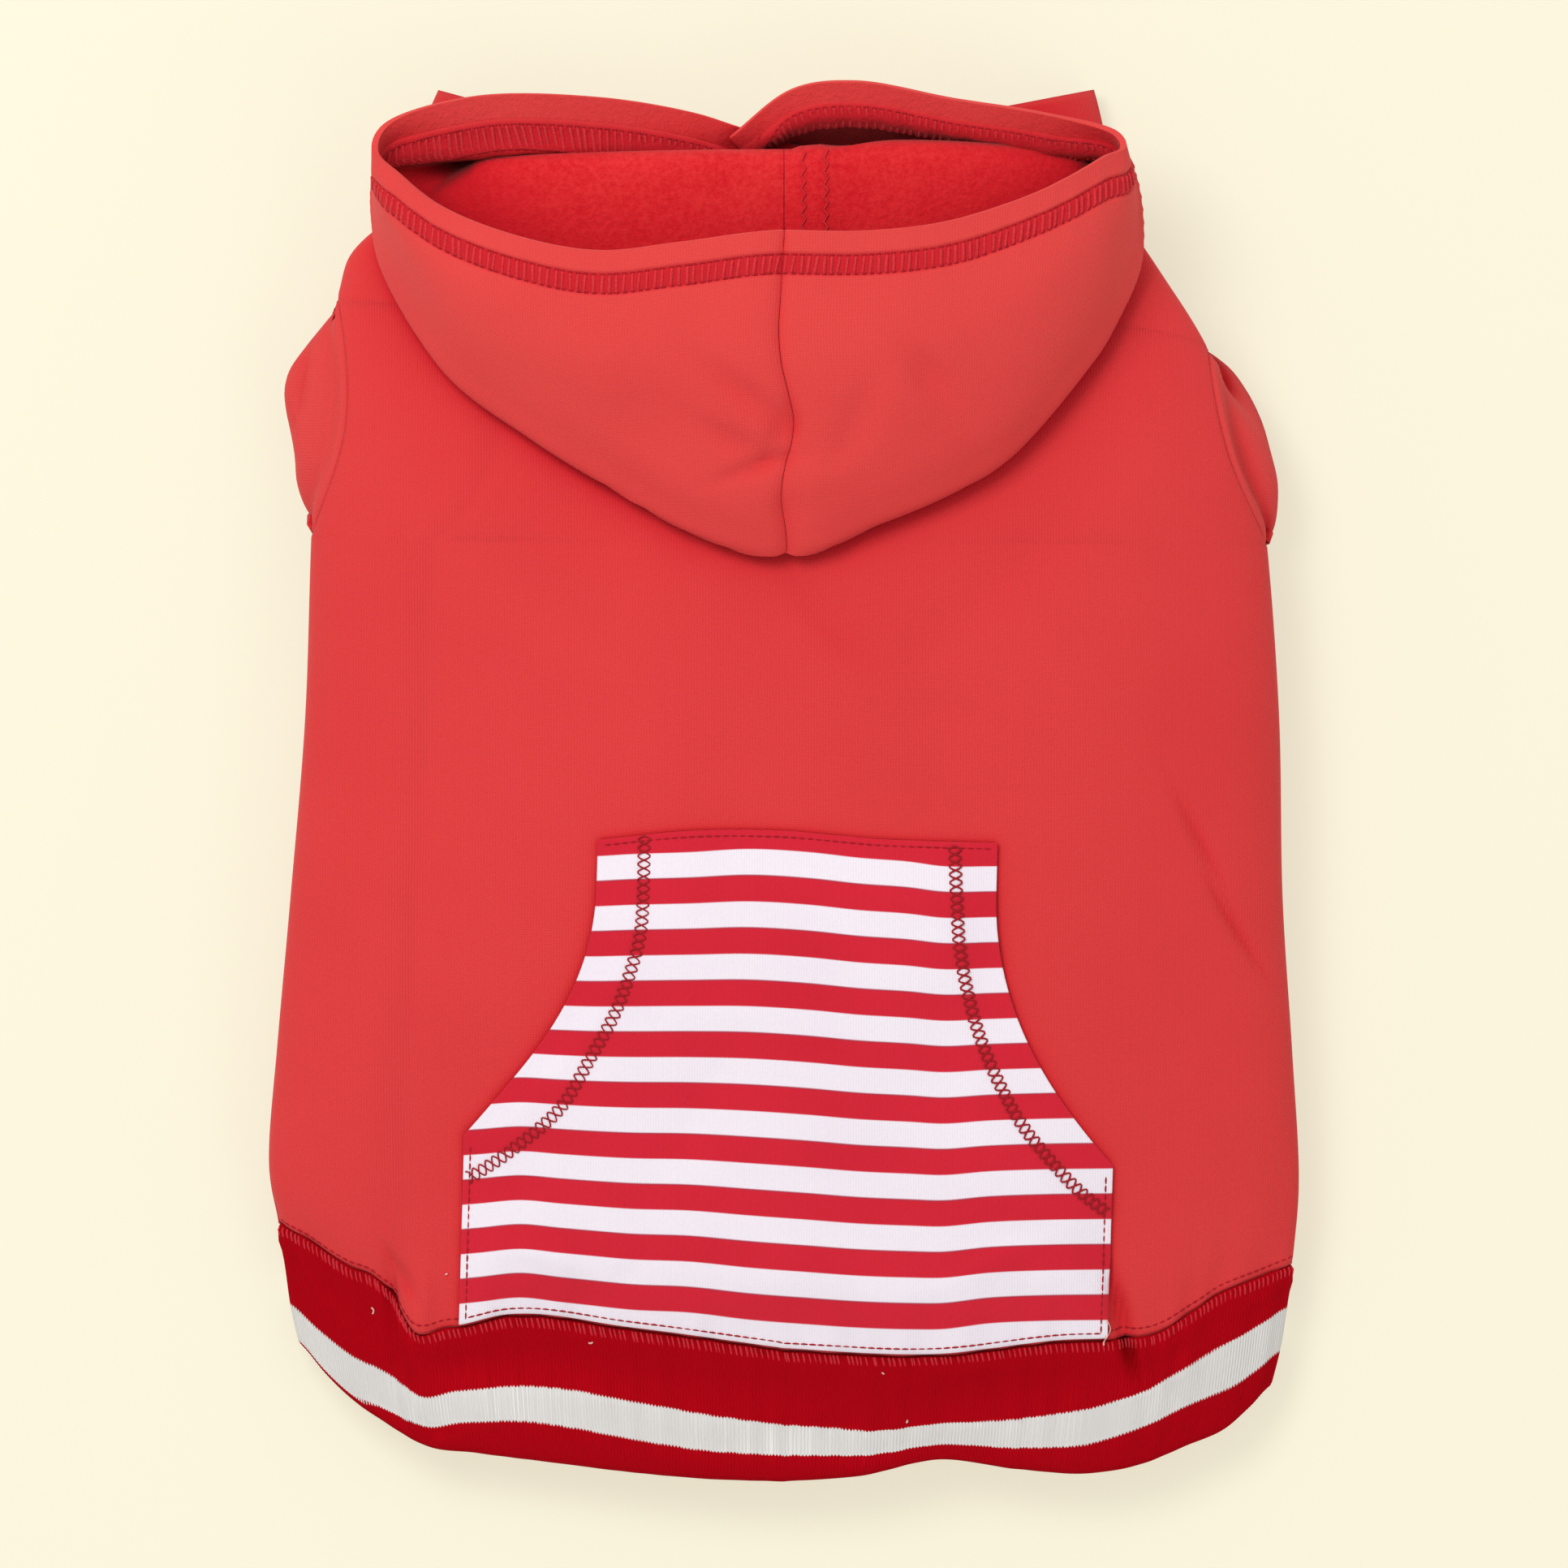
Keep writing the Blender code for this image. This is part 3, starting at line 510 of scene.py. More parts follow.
# The white stripe over the back, by mm across: where it starts and ends, as shares of the depth
BAND_STRIPE = {
    "x": (-160, -131, -119, -106, -85, -62, -27, 9, 39, 70, 93, 116, 134, 147, 160),
    "from": (
        0.66, 0.64, 0.61, 0.52, 0.49, 0.48, 0.53, 0.58, 0.65, 0.6,
        0.51, 0.4, 0.38, 0.34, 0.33,
    ),
    "to": (0.96, 0.94, 0.87, 0.78, 0.73, 0.74, 0.79, 0.8, 0.84, 0.83, 0.78, 0.68, 0.7, 0.7, 0.7),
}
RIB_RED = ((0.600, 0.001, 0.010), (0.450, 0.001, 0.006))
# Painted shade for the rib's red: the colours its hollows are painted, the second in the deepest
# creases
RIB_PAINTED_SHADE = ((0.420, 0.001, 0.005), (0.150, 0.000, 0.002))
RIB_WHITE = ((0.950, 0.935, 0.925), (0.840, 0.820, 0.810))
BAND_MARKS = {
    "x": (-121, -119, 103.8, 118, 60, -60, -10, 118, -95, 107),
    "y": (-158, -178, -164.5, -186, -188, -190, -196, -196, -190, -177),
    "long": (10, 12, 16, 12, 22, 24, 30, 16, 10, 8),
    "wide": (2.0, 3.0, 2.6, 3.4, 5, 5, 6, 5, 6, 1.8),
    "turn": (-86, -50, -76, -50, 10, -8, 4, 20, -10, -70),
    "deep": (2.4, 1.1, 4.5, 1.4, 0.9, -0.6, -0.7, -0.6, -0.8, 2.6),
}


def band_ring(down, over_shares, under_shares):
    """One closed ring of the band, down from its seam, 0, to its edge, 1."""
    units = {"left": CHEST_HALF, "right": CHEST_HALF, "top": BACK_HEIGHT, "seam": BACK_HEIGHT}
    read = {
        name: through(WAISTBAND["down"], WAISTBAND[name], down)[0] * unit
        for name, unit in units.items()
    }
    start = SEAM_GAP + down * RIB_DEPTH
    sides = [
        WAIST[name] - SEAM_GAP - down * RIB_DEPTH * share
        for name, share in zip(("side_left", "side_right"), SIDE_DEPTH)
    ]
    turn = over_shares * math.pi / 2
    side = np.where(turn < 0, *sides)
    drop = dropped(SEAM_DROP, turn) * (1 - down) + dropped(EDGE_DROP, turn) * down
    x = sided(turn, read, "left", "right") * np.sin(turn)
    y = side + (WAIST["back"] - start - side) * drop
    z = read["seam"] + (read["top"] - read["seam"]) * np.clip(np.cos(turn), 0, 1) ** BACK_ROUND
    upper = np.stack([x, y, z], axis=-1)
    turn, lift = belly_section(under_shares)
    side = np.where(turn < 0, *sides)
    x = sided(turn, read, "left", "right") * np.sin(turn)
    y = side + (WAIST["belly"] - start - side) * np.cos(turn)
    ring = np.concatenate([upper, np.stack([x, y, read["seam"] * lift], axis=-1)]) - MIDDLE
    ring[-1] = ring[0]
    return ring


OVER = 1351
UNDER = 300
BAND_MIDDLE = 8  # the row of the band halfway down
downs = np.concatenate([[1.0, 0.985], np.linspace(0.95, 0.05, 12), [0.02, 0.0, -0.03]])
over_shares = np.linspace(-1, 1, OVER)
under_shares = np.linspace(1, -1, UNDER + 1)[1:]
band_sheet = np.array([band_ring(down, over_shares, under_shares) for down in downs])
band_out = cloth_normals(band_sheet)
round_band = lengths_along(band_sheet, 1)
depth_of = np.abs(lengths_along(band_sheet[::-1], 0)[::-1])
depth_of -= depth_of[-2:-1]
down = downs[:, None]
on_top = np.zeros(band_sheet.shape[1])
on_top[:OVER] = np.clip((1 - np.abs(over_shares)) / 0.02, 0, 1)
turned = round_band[BAND_MIDDLE] * 2 * math.pi
rib_wave = np.cos(turned / RIB_PITCH)
lift = (rib_wave * 0.00008 * on_top)[None, :] * np.ones(down.shape)
lift -= rolled(depth_of, 0.002, 0.0006) + rolled(depth_of[:1] - depth_of, 0.0018, 0.0012)
lift -= marked(band_sheet, BAND_MARKS) * on_top
lift += hump(depth_of - 0.0045, 0.0028) * 0.0007 * on_top
puckers = np.sin(turned / 0.0118 + 1.5 * np.sin(turned / 0.041))
lift += 0.0003 * (puckers * on_top)[None, :] * (1 - 0.6 * down)
lift[-1] -= RIB  # the last row is tucked under the panels
band_sheet = band_sheet + band_out * lift[..., None]
band_sheet[:, -1] = band_sheet[:, 0]

# The stripe's place goes on the UV map: 0.5 where it starts and 0.75 where it ends
stripe_x = band_sheet[BAND_MIDDLE, :OVER, 0] * 1000
stripe_from = np.full(band_sheet.shape[1], 0.5)
stripe_to = np.full(band_sheet.shape[1], 0.76)
stripe_from[:OVER] = through(BAND_STRIPE["x"], BAND_STRIPE["from"], stripe_x)
stripe_to[:OVER] = through(BAND_STRIPE["x"], BAND_STRIPE["to"], stripe_x)
teeth = np.where(rib_wave > 0, 0.006, -0.006)
stripe_from, stripe_to = stripe_from + teeth, stripe_to + teeth
above = down / stripe_from * 0.5
within = 0.5 + (down - stripe_from) / (stripe_to - stripe_from) * 0.25
below = 0.75 + (down - stripe_to) / (1.02 - stripe_to) * 0.25
knitted = np.where(down < stripe_from, above, np.where(down < stripe_to, within, below))
rib = Finish("rib_knit", 0.95, 0.0, (1.0, 1.0, 1.0), specular=0.05)
in_white = rib.steps(rib.measure(), (0.496, 0.0), (0.504, 1.0), (0.746, 1.0), (0.754, 0.0))
fleck = rib.steps(rib.noise(900, 3, 0.7), (0.3, 0.0), (0.8, 1.0))
# Random flecks of wear, and the rib's valleys painted darker in step with the ribs: painted shade
fleck_and_valley_shade = rib.weighted((fleck, 0.35), (rib.rows(RIB_PITCH, "X"), 0.5))
red_rib = rib.painted_shade(rib.blend(fleck_and_valley_shade, *RIB_RED), RIB_PAINTED_SHADE, 0.02)
white_rib = rib.blend(rib.sum("MULTIPLY", fleck_and_valley_shade, 0.4), *RIB_WHITE)
rib.colour(rib.blend(in_white, red_rib, white_rib))
rib.raise_by(rib.sum("ADD", rib.noise(1300, 3, 0.7), rib.rows(0.0011, "Y", 1.0)), 0.0002, 0.6)
band_mesh = cloth_mesh("waistband_rib", band_sheet, round_band, knitted, closed=True)
band = cut_piece(band_mesh, RIB, [rib.material])
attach(band, "root")
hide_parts("waistband")

# The sleeves: short fleece tubes set into the armholes, folded under the body with their open
# cuffs towards the head. Only a fold at each side and a corner of each cuff show from above.

SLEEVE_REACH = 0.110
CUFF_HALF = 0.040
CUFF_HEIGHT = 0.0134
SLEEVE_LEFT = {
    "out": (0.05, -0.10, -0.33, -0.57),
    "ahead": (0.02, 0.13, 0.43, 0.82),
    "high": (1.15, 0.62, 0.52, 0.50),
    "across_out": (0.46, 0.57, 0.78, 0.96),
    "across_ahead": (0.02, 0.40, 0.30, 0.27),
    "across_high": (0.62, 0.14, 0.00, 0.00),
    "round_out": (-0.08, -0.20, 0.00, 0.00),
    "round_ahead": (0.88, 0.62, 0.25, 0.00),
    "round_high": (0.20, 0.50, 0.54, 0.52),
}
SLEEVE_RIGHT = {
    **SLEEVE_LEFT,
    "out": (0.03, -0.15, -0.50, -0.675),
    "ahead": (-0.05, 0.14, 0.50, 0.91),
    "high": (1.05, 0.55, 0.52, 0.50),
    "across_out": (0.44, 0.57, 0.80, 0.98),
    "across_ahead": (-0.06, 0.40, 0.28, 0.19),
    "round_out": (-0.24, -0.20, 0.00, 0.00),
    "round_ahead": (0.66, 0.52, 0.25, 0.00),
}
SEAM_RUN_OUT = 0.003
SLEEVE_CLEAR = 0.0022  # between the sleeve's outer face and the belly's
ARM_STEPS = 40
SOFT_EDGE = 0.004
SLEEVE_MARKS = {
    "left": {
        "x": (-149.5,), "y": (121,), "long": (17,), "wide": (1.6,), "turn": (78,), "deep": (1.8,),
    },
    "right": {
        "x": (142,), "y": (101,), "long": (26,), "wide": (2.4,), "turn": (-74,), "deep": (2.2,),
    },
}
# How far out each sleeve shows beside the body, in mm: y along the body and x away from its middle
SLEEVE_OUTLINE = {
    "left_y": (60, 76, 78, 85, 93, 101, 108, 116, 121.5, 127, 134, 142, 151, 158, 175, 230),
    "left_x": (
        144, 145.5, 147, 149.5, 151.3, 151.5, 152.7, 154.7, 155.4, 154, 148.7, 142, 135, 132, 122,
        115,
    ),
    "right_y": (50, 66.5, 70, 77, 86.5, 93.5, 102, 113, 122, 129, 133, 136, 147, 156, 163, 230),
    "right_x": (
        147, 149, 151, 152.5, 153.5, 153.5, 151.5, 148.5, 143.5, 137.5, 132, 127, 121, 116, 110,
        104,
    ),
}


def panel_edge(panel, reach_share, sign, arm_places):
    """The panel's edge along the armhole, and the direction in which the panel goes on."""
    reach = (sign * (1 - reach_share * armhole_share(arm_places)))[:, None]
    here = panel(arm_places, reach)[:, 0]
    along = panel(arm_places + 0.05, reach)[:, 0] - panel(arm_places - 0.05, reach)[:, 0]
    inner = panel(arm_places, reach * 0.98)[:, 0] - here
    square = np.cross(along, inner)
    return here, square / np.linalg.norm(square, axis=-1, keepdims=True)


def knots_of(points):
    """Knots for a run of points, spaced by the square root of the gaps between them."""
    gaps = np.linalg.norm(np.diff(points, axis=0), axis=-1)
    return np.concatenate([[0.0], np.cumsum(np.sqrt(np.maximum(gaps, 1e-6)))])


def sleeve_sheet(side, table):
    """The sleeve's grid: rows from the armhole to the cuff, columns round it."""
    sign = -1 if side == "left" else 1
    up = np.linspace(ARMHOLE_FROM, ARMHOLE_TO, ARM_STEPS + 1)
    back_edge, back_square = panel_edge(back_points, ARMHOLE_BACK, sign, up)
    belly_edge, belly_square = panel_edge(belly_points, ARMHOLE_BELLY, sign, up[-2:0:-1])
    ring = np.concatenate([back_edge, belly_edge])
    square = np.concatenate([back_square, belly_square])
    middle = ring.mean(axis=0)
    edge = np.roll(ring, -1, axis=0) - np.roll(ring, 1, axis=0)
    onwards = np.cross(square, edge)
    onwards /= np.linalg.norm(onwards, axis=-1, keepdims=True)
    towards = (onwards * (middle - ring)).sum(axis=-1, keepdims=True)
    onwards = onwards * np.sign(towards)
    ring = np.concatenate([ring, ring[:1]])
    onwards = np.concatenate([onwards, onwards[:1]])
    steps = len(ring) - 1
    turns = np.linspace(0, 2 * math.pi, steps + 1)
    to_corner = np.abs((np.arange(steps + 1) + ARM_STEPS / 2) % ARM_STEPS - ARM_STEPS / 2)
    ease = np.clip(to_corner / 6, 0, 1)[:, None]
    seam = ring + onwards * (0.0002 - 0.0008 * ease)
    onwards = onwards * (0.5 + 0.5 * ease)
    run_out = seam + onwards * SEAM_RUN_OUT
    rings = [run_out + onwards * 0.00125 - UP * 0.0025]
    for out, ahead, high, *axes in zip(*table.values()):
        centre = middle + np.array([sign * out, ahead, 0]) * SLEEVE_REACH
        centre[2] = high * CUFF_HEIGHT
        size = np.array([sign * CUFF_HALF, CUFF_HALF, CUFF_HEIGHT])
        wide, tall = np.array(axes[:3]) * size, np.array(axes[3:]) * size
        rings.append(centre + np.outer(np.sin(turns), wide) - np.outer(np.cos(turns), tall))
    rings = np.array(rings)
    knots = knots_of(rings.mean(axis=1))
    rows = through(knots, rings, np.linspace(0, knots[-1], 64))
    start = seam + onwards * SEAM_RUN_OUT * np.array([0.12, 0.3, 0.6])[:, None, None]
    sheet = np.concatenate([[seam], start, [run_out], rows])
    free = sheet[5:]
    reached = free[..., 0] * sign
    shown = read_at(SLEEVE_OUTLINE, f"{side}_y", f"{side}_x", free[..., 1] * 1000) / 1000
    limit = shown - SOFT_EDGE
    past = np.clip(reached - limit, 0, None)
    eased = limit + SOFT_EDGE * (1 - np.exp(-past / SOFT_EDGE))
    free[..., 0] = np.where(past > 0, eased, reached) * sign
    for row in sheet[7:]:
        for index, point in enumerate(row):
            limits = [belly_tree.ray_cast(Vector((point[0], point[1], -1)), Vector(UP))[0]]
            if index >= steps / 2 - 4:
                limits.append(belly_tree.find_nearest(Vector(point), 0.008)[0])
            for limit in limits:
                if limit is not None:
                    point[2] = min(point[2], limit.z - SLEEVE_CLEAR)
            point[2] = max(point[2], 0.0)
    return sheet


# The sleeves' fleece is painted a little lighter than the body's: painted light against the shade
# the sleeves lie in
sleeve_face_painted_lighter = fleece_finish("sleeve_fleece_face_painted_lighter", ((0.710, 0.060, 0.058), (0.620, 0.044, 0.044)))
for side, table in (("left", SLEEVE_LEFT), ("right", SLEEVE_RIGHT)):
    node = f"sleeve_{side}"
    sheet = sleeve_sheet(side, table)
    flip = side == "right"
    out = cloth_normals(sheet, flip)
    out[:, -1] = out[:, 0]
    from_seam = lengths_along(sheet, 0)
    upwards = np.clip(out[..., 2] * 2, 0, 1)
    sink = marked(sheet, SLEEVE_MARKS[side]) * upwards * np.clip(from_seam / 0.006, 0, 1)
    sink += rolled(from_seam, 0.0035, 0.0013)
    sheet = sheet - out * sink[..., None]
    sheet[:, -1] = sheet[:, 0]
    sheet[..., 2] = np.maximum(sheet[..., 2], 0)
    round_sleeve = lengths_along(sheet, 1)
    mesh = cloth_mesh(f"{node}_cloth", sheet, round_sleeve, from_seam, closed=True, flip=flip)
    sleeve = cut_piece(mesh, FLEECE, [sleeve_face_painted_lighter.material, inside.material])
    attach(sleeve, "root")
    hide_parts(node)

# The hood: two halves of the same fleece joined by a seam over the head, the rim turned in and
# held by a cover stitch. It is folded back, crown over nape, and its throat ends cross in front.

HOOD_HALF = 0.115
HOOD_DROP = 0.1175
HOOD_RISE = 0.034
HOOD_FOLD = 0.011
CROWN_PUFF = 0.18
NAPE_ROLL = 0.055
NAPE_TILT = 0.6
HEM_SPREAD = {"left": 0.28, "right": 0.10}
HOOD_LEFT = {
    "round": (0.00, 0.13, 0.25, 0.35, 0.43, 0.48, 0.52, 0.58, 0.71, 0.83, 0.92, 0.965, 0.975),
    "edge_x": (0.00, 0.28, 0.5, 0.71, 0.92, 1.035, 1.096, 1.065, 0.835, 0.5, 0.245, 0.115, -0.04),
    "edge_y": (
        0.145, 0.175, 0.196, 0.158, 0.077, -0.01, -0.068, -0.14, -0.213, -0.213,
        -0.174, -0.135, -0.09,
    ),
    "edge_z": (1.00, 0.94, 0.85, 0.76, 0.61, 0.44, 0.24, 0.02, -0.20, -0.36, -0.52, -0.62, -0.80),
    "fold_x": (0.006, 0.25, 0.483, 0.678, 0.909, 1.057, 1.098, 1.085, 0.8, 0.49, 0.25, 0.13, 0.00),
    "fold_y": (
        1.00, 0.932, 0.804, 0.685, 0.511, 0.289, 0.153, -0.02, -0.07, -0.075,
        -0.06, -0.05, -0.03,
    ),
    "folded": (1.00, 1.00, 1.00, 1.00, 1.00, 0.95, 0.75, 0.25, 0.00, 0.00, 0.00, 0.00, 0.00),
}
HOOD_RIGHT = {
    "round": (0.00, 0.12, 0.24, 0.34, 0.41, 0.47, 0.52, 0.58, 0.70, 0.82, 0.92, 0.98, 1.03),
    "edge_x": (
        0.00, 0.226, 0.443, 0.657, 0.765, 0.861, 0.909, 0.887, 0.696, 0.452,
        0.191, 0.022, -0.145,
    ),
    "edge_y": (
        0.145, 0.145, 0.119, 0.051, 0.000, -0.055, -0.077, -0.119, -0.17, -0.209,
        -0.255, -0.234, -0.11,
    ),
    "edge_z": (1.00, 0.95, 0.88, 0.75, 0.61, 0.41, 0.24, 0.05, -0.15, -0.26, -0.29, -0.35, -0.50),
    "fold_x": (
        0.006, 0.25, 0.483, 0.637, 0.778, 0.887, 0.961, 0.94, 0.7, 0.45,
        0.2, 0.045, -0.105,
    ),
    "fold_y": (
        1.00, 0.913, 0.813, 0.706, 0.545, 0.396, 0.221, -0.01, -0.08, -0.125,
        -0.165, -0.15, -0.07,
    ),
    "folded": (1.00, 1.00, 1.00, 1.00, 1.00, 0.90, 0.60, 0.12, 0.00, 0.00, 0.00, 0.00, 0.00),
}
HEM = 0.0074  # rim to the cover stitch
LADDER = 0.0058  # width of the cover stitch
COLUMN_STEP = 0.0005  # between the columns nearest the rim
HEM_COLUMNS = 31
HOOD_GRID = 131, 97  # rows round the neck and columns past the hem
# The centre seam's sideways run down the crown, in mm
SEAM_RUN = {
    "y": (68, 76, 87, 96, 103, 110, 119, 128, 139, 148, 168),
    "x": (1.2, 0.6, -0.8, 0.2, 2.2, 3.0, 1.4, -0.7, -1.6, -1.1, 0.1),
}
CROWN_MARKS = {
    "x": (-12, -16, -8, 45, 22, -55, 60, 8, -34, -3, 3),
    "y": (118, 104, 97, 124, 112, 128, 105, 92, 94, 108, 84),
    "long": (16, 12, 12, 12, 14, 26, 24, 14, 18, 9, 10),
    "wide": (4.5, 4.0, 2.6, 5.0, 6.0, 9, 9, 5, 7, 4.0, 3.5),
    "turn": (-42, -30, 18, -50, 62, -14, 30, 20, -30, 70, 80),
    "deep": (2.6, 2.1, 2.3, 2.2, 1.2, -1.1, -1.0, -0.9, -0.9, 1.8, 1.3),
}
SEAM_STRIP = (0.0050, 0.0138)  # the seam's allowance inside the nape, from its centre
HOOD_FACE = ((0.750, 0.062, 0.058), (0.655, 0.042, 0.043))
HOOD_INSIDE = ((0.850, 0.040, 0.042), (0.640, 0.006, 0.014))
# Painted shade of the cover stitch's recessed band
LADDER_SHADE_RED = (0.560, 0.010, 0.020)


def neck_point(side, place):
    """A point just ahead of the neck opening: 0 is its nape, 0.5 its side and 1 its throat."""
    sign = -1 if side == "left" else 1
    share = np.array([[sign * (1 - abs(1 - 2 * min(place, 1.0)))]])
    panel = back_points if place <= 0.5 else belly_points
    point = panel(np.array([9.0]), share)[0, 0]
    if place > 1:
        point[0] = -sign * (place - 1) * math.pi * NECK_HALF
    return point + np.array([0, 0.0003, 0])


def cloth_over(tree, x, y):
    """The cloth's upper face at a place, or None beside it."""
    return tree.ray_cast(Vector((x, y, 1)), Vector((0, 0, -1)))[0]
def resting(tree, x, y):
    """The cloth's upper face at a place, or its nearest point beside it."""
    return cloth_over(tree, x, y) or tree.find_nearest(Vector((x, y, BACK_HEIGHT)))[0]


def hood_line(side, table, index, at):
    """One line of the hood from its front edge over the fold and back to the neck."""
    sign = -1 if side == "left" else 1
    read = {name: column[index] for name, column in table.items()}
    nape = BACK_LENGTH - MIDDLE[1]
    edge = np.array([
        sign * read["edge_x"] * HOOD_HALF,
        nape - read["edge_y"] * HOOD_DROP,
        BACK_HEIGHT + read["edge_z"] * HOOD_RISE,
    ])
    fold = np.array([sign * read["fold_x"] * HOOD_HALF, nape - read["fold_y"] * HOOD_DROP, 0.0])
    neck = neck_point(side, read["round"])
    run_out = neck + np.array([0, SEAM_RUN_OUT, 0])
    low = fold + UP * (neck[2] + (0.84 - 0.42 * read["folded"]) * (edge[2] - neck[2]))
    single = through(
        (0, 0.2, 0.4, 0.55, 0.7, 0.85, 0.94, 1),
        [edge, edge * 0.67 + low * 0.33, edge * 0.33 + low * 0.67, low,
         low * 0.60 + run_out * 0.40, low * 0.25 + run_out * 0.75, run_out, neck],
        at,
    )
    low = fold + UP * (resting(back_tree, fold[0], fold[1]).z + LAYER_GAP * 2)
    towards = (edge - fold) * np.array([1, 1, 0])
    towards /= max(np.linalg.norm(towards), 1e-6)
    top = low + towards * HOOD_FOLD * 0.7 + UP * HOOD_FOLD
    out = low + UP * HOOD_FOLD * 0.45
    bottom = low + towards * HOOD_FOLD * 0.8
    crown = (edge + top) / 2 + UP * CROWN_PUFF * HOOD_RISE
    tilt = NAPE_TILT * min(read["round"] / 0.14, 1) if side == "right" else 0
    fade = max(math.cos(math.pi * read["round"]), 0)
    roll = np.array([0, NAPE_ROLL * (1 + tilt) * fade * HOOD_DROP, 0])
    turn_down = neck + roll + UP * 0.35 * HOOD_FOLD
    turn_back = neck + roll * 0.4 + UP * 0.75 * HOOD_FOLD
    doubled = through(
        (0, 0.22, 0.43, 0.49, 0.55, 0.70, 0.84, 0.91, 0.96, 1),
        [edge, crown, top, out, bottom, (bottom + turn_back) / 2, turn_back, turn_down, run_out,
         neck],
        at,
    )
    weight = (read["folded"] ** (1 + 4 * at**2))[:, None]
    return single * (1 - weight) + doubled * weight


def hood_sheet(side, table):
    """The half's grid, its rows round the neck and its columns at set distances from the rim."""
    sign = -1 if side == "left" else 1
    at = np.linspace(0, 1, 241)
    lines = np.array([hood_line(side, table, index, at) for index in range(len(table["round"]))])
    knots = knots_of(lines[:, 0])
    mirrored = lines[1] * np.array([-1, 1, 1])
    round_at = np.linspace(0, knots[-1], HOOD_GRID[0])
    rows = through([-knots[1], *knots], np.concatenate([[mirrored], lines]), round_at)
    rows[0, :, 0] = sign * SEAM_GAP / 2
    folded = np.clip(through(knots, table["folded"], round_at), 0, 1)
    spread = 1 + HEM_SPREAD[side] * (1 - folded)
    sheet = []
    for row, settles, wider in zip(rows, folded > 0.6, spread):
        gone = lengths_along(row[None], 1)[0]
        near = np.arange(HEM_COLUMNS) * COLUMN_STEP * wider
        spots = np.concatenate([near, np.linspace(near[-1], gone[-1], HOOD_GRID[1])[1:]])
        line = np.stack([np.interp(spots, gone, row[:, axis]) for axis in range(3)], axis=-1)
        if settles:
            for point in line[:-1]:
                over = cloth_over(back_tree, point[0], point[1])
                if over is not None:
                    point[2] = max(point[2], over.z + LAYER_GAP * 1.6)
        sheet.append(line)
    return np.array(sheet), spread[:, None]


def hooded(side, table):
    """The half with its hem, its dents and its centre seam pressed into it."""
    flip = side == "left"
    sheet, spread = hood_sheet(side, table)
    out = cloth_normals(sheet, flip)
    from_rim = lengths_along(sheet, 1) / spread
    from_centre = lengths_along(sheet, 0)
    upper = np.clip((out[..., 2] - 0.1) / 0.4, 0, 1)
    line_length = from_rim[:, -1:]
    crown = np.where(from_rim < line_length * 0.5, upper, 0)
    hem = np.clip((HEM - from_rim) / 0.0008, 0, 1)
    needles = hump(from_rim - HEM, 0.0006) + hump(from_rim - HEM - LADDER, 0.0006)
    lift = hem * 0.0005 - needles * 0.0004 - marked(sheet, CROWN_MARKS) * crown
    outside = np.clip((line_length * 0.6 - from_rim) / (line_length * 0.15), 0, 1)
    lift -= (rolled(from_centre, 0.0040, 0.0010) + 0.0009 * hump(from_centre, 0.007)) * outside
    if side == "right":
        strip = np.clip(1 - (np.abs(from_centre - sum(SEAM_STRIP) / 2) - 0.0042) / 0.0008, 0, 1)
        lift -= 0.0009 * strip * (from_rim > line_length * 0.5)
    lift += slack(sheet, 0.0009, 0.06) * crown * np.clip(from_rim / 0.02, 0, 1)
    along_stitch = from_centre[:, round((HEM + LADDER / 2) / COLUMN_STEP) - 1, None]
    pulls = np.sin(along_stitch / 0.0093 * 2 * math.pi + 2 * np.sin(along_stitch / 0.05))
    lift += pulls * 0.00022 * hump(from_rim - HEM - LADDER / 2, 0.006)
    held = np.clip(sheet[..., 1] * 1000, SEAM_RUN["y"][0], SEAM_RUN["y"][-1])
    shift = read_at(SEAM_RUN, "y", "x", held) / 1000 * hump(from_centre, 0.022) * crown
    sheet = sheet + out * lift[..., None]
    sheet[..., 0] += shift
    return sheet, out, from_rim, from_centre, flip


hood_face = fleece_finish("hood_fleece_face", HOOD_FACE)
hood_inside = brushed_finish("hood_brushed", HOOD_INSIDE)
# The cover stitch's band, from the hem to its far needle line, is painted a darker red on both
# faces: painted shade of the band's recess. Inside, the turned-in hem keeps the face's colour.
start, end = 10 * HEM, 10 * (HEM + LADDER)
for finish in (hood_face, hood_inside):
    plain = finish.shader.inputs["Base Color"].links[0].from_socket
    tenfold = finish.sum("MULTIPLY", finish.measure(), 10.0)
    if finish is hood_inside:
        turned_in = finish.steps(tenfold, (end, 1.0), (end + 0.006, 0.0))
        plain = finish.blend(turned_in, plain, fleece_colour(finish, HOOD_FACE))
    stops = (start - 0.006, 0.0), (start + 0.001, 0.95), (end - 0.001, 0.95), (end + 0.006, 0.0)
    finish.colour(finish.blend(finish.steps(tenfold, *stops), plain, LADDER_SHADE_RED))

hood_halves = {}
for side, table in (("left", HOOD_LEFT), ("right", HOOD_RIGHT)):
    node = f"hood_{side}"
    sheet, out, from_rim, from_centre, flip = hooded(side, table)
    hood_halves[side] = (sheet, out, from_centre)
    mesh = cloth_mesh(f"{node}_cloth", sheet, from_centre, from_rim, flip=flip)
    half = cut_piece(mesh, FLEECE, [hood_face.material, hood_inside.material], rim=0.0008)
    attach(half, "root")
    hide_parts(node)

# The pocket: one piece of thin red and white striped jersey, sewn to the back along its top, its
# lower sides and the waist seam, and open at its two curved sides, which are hemmed.

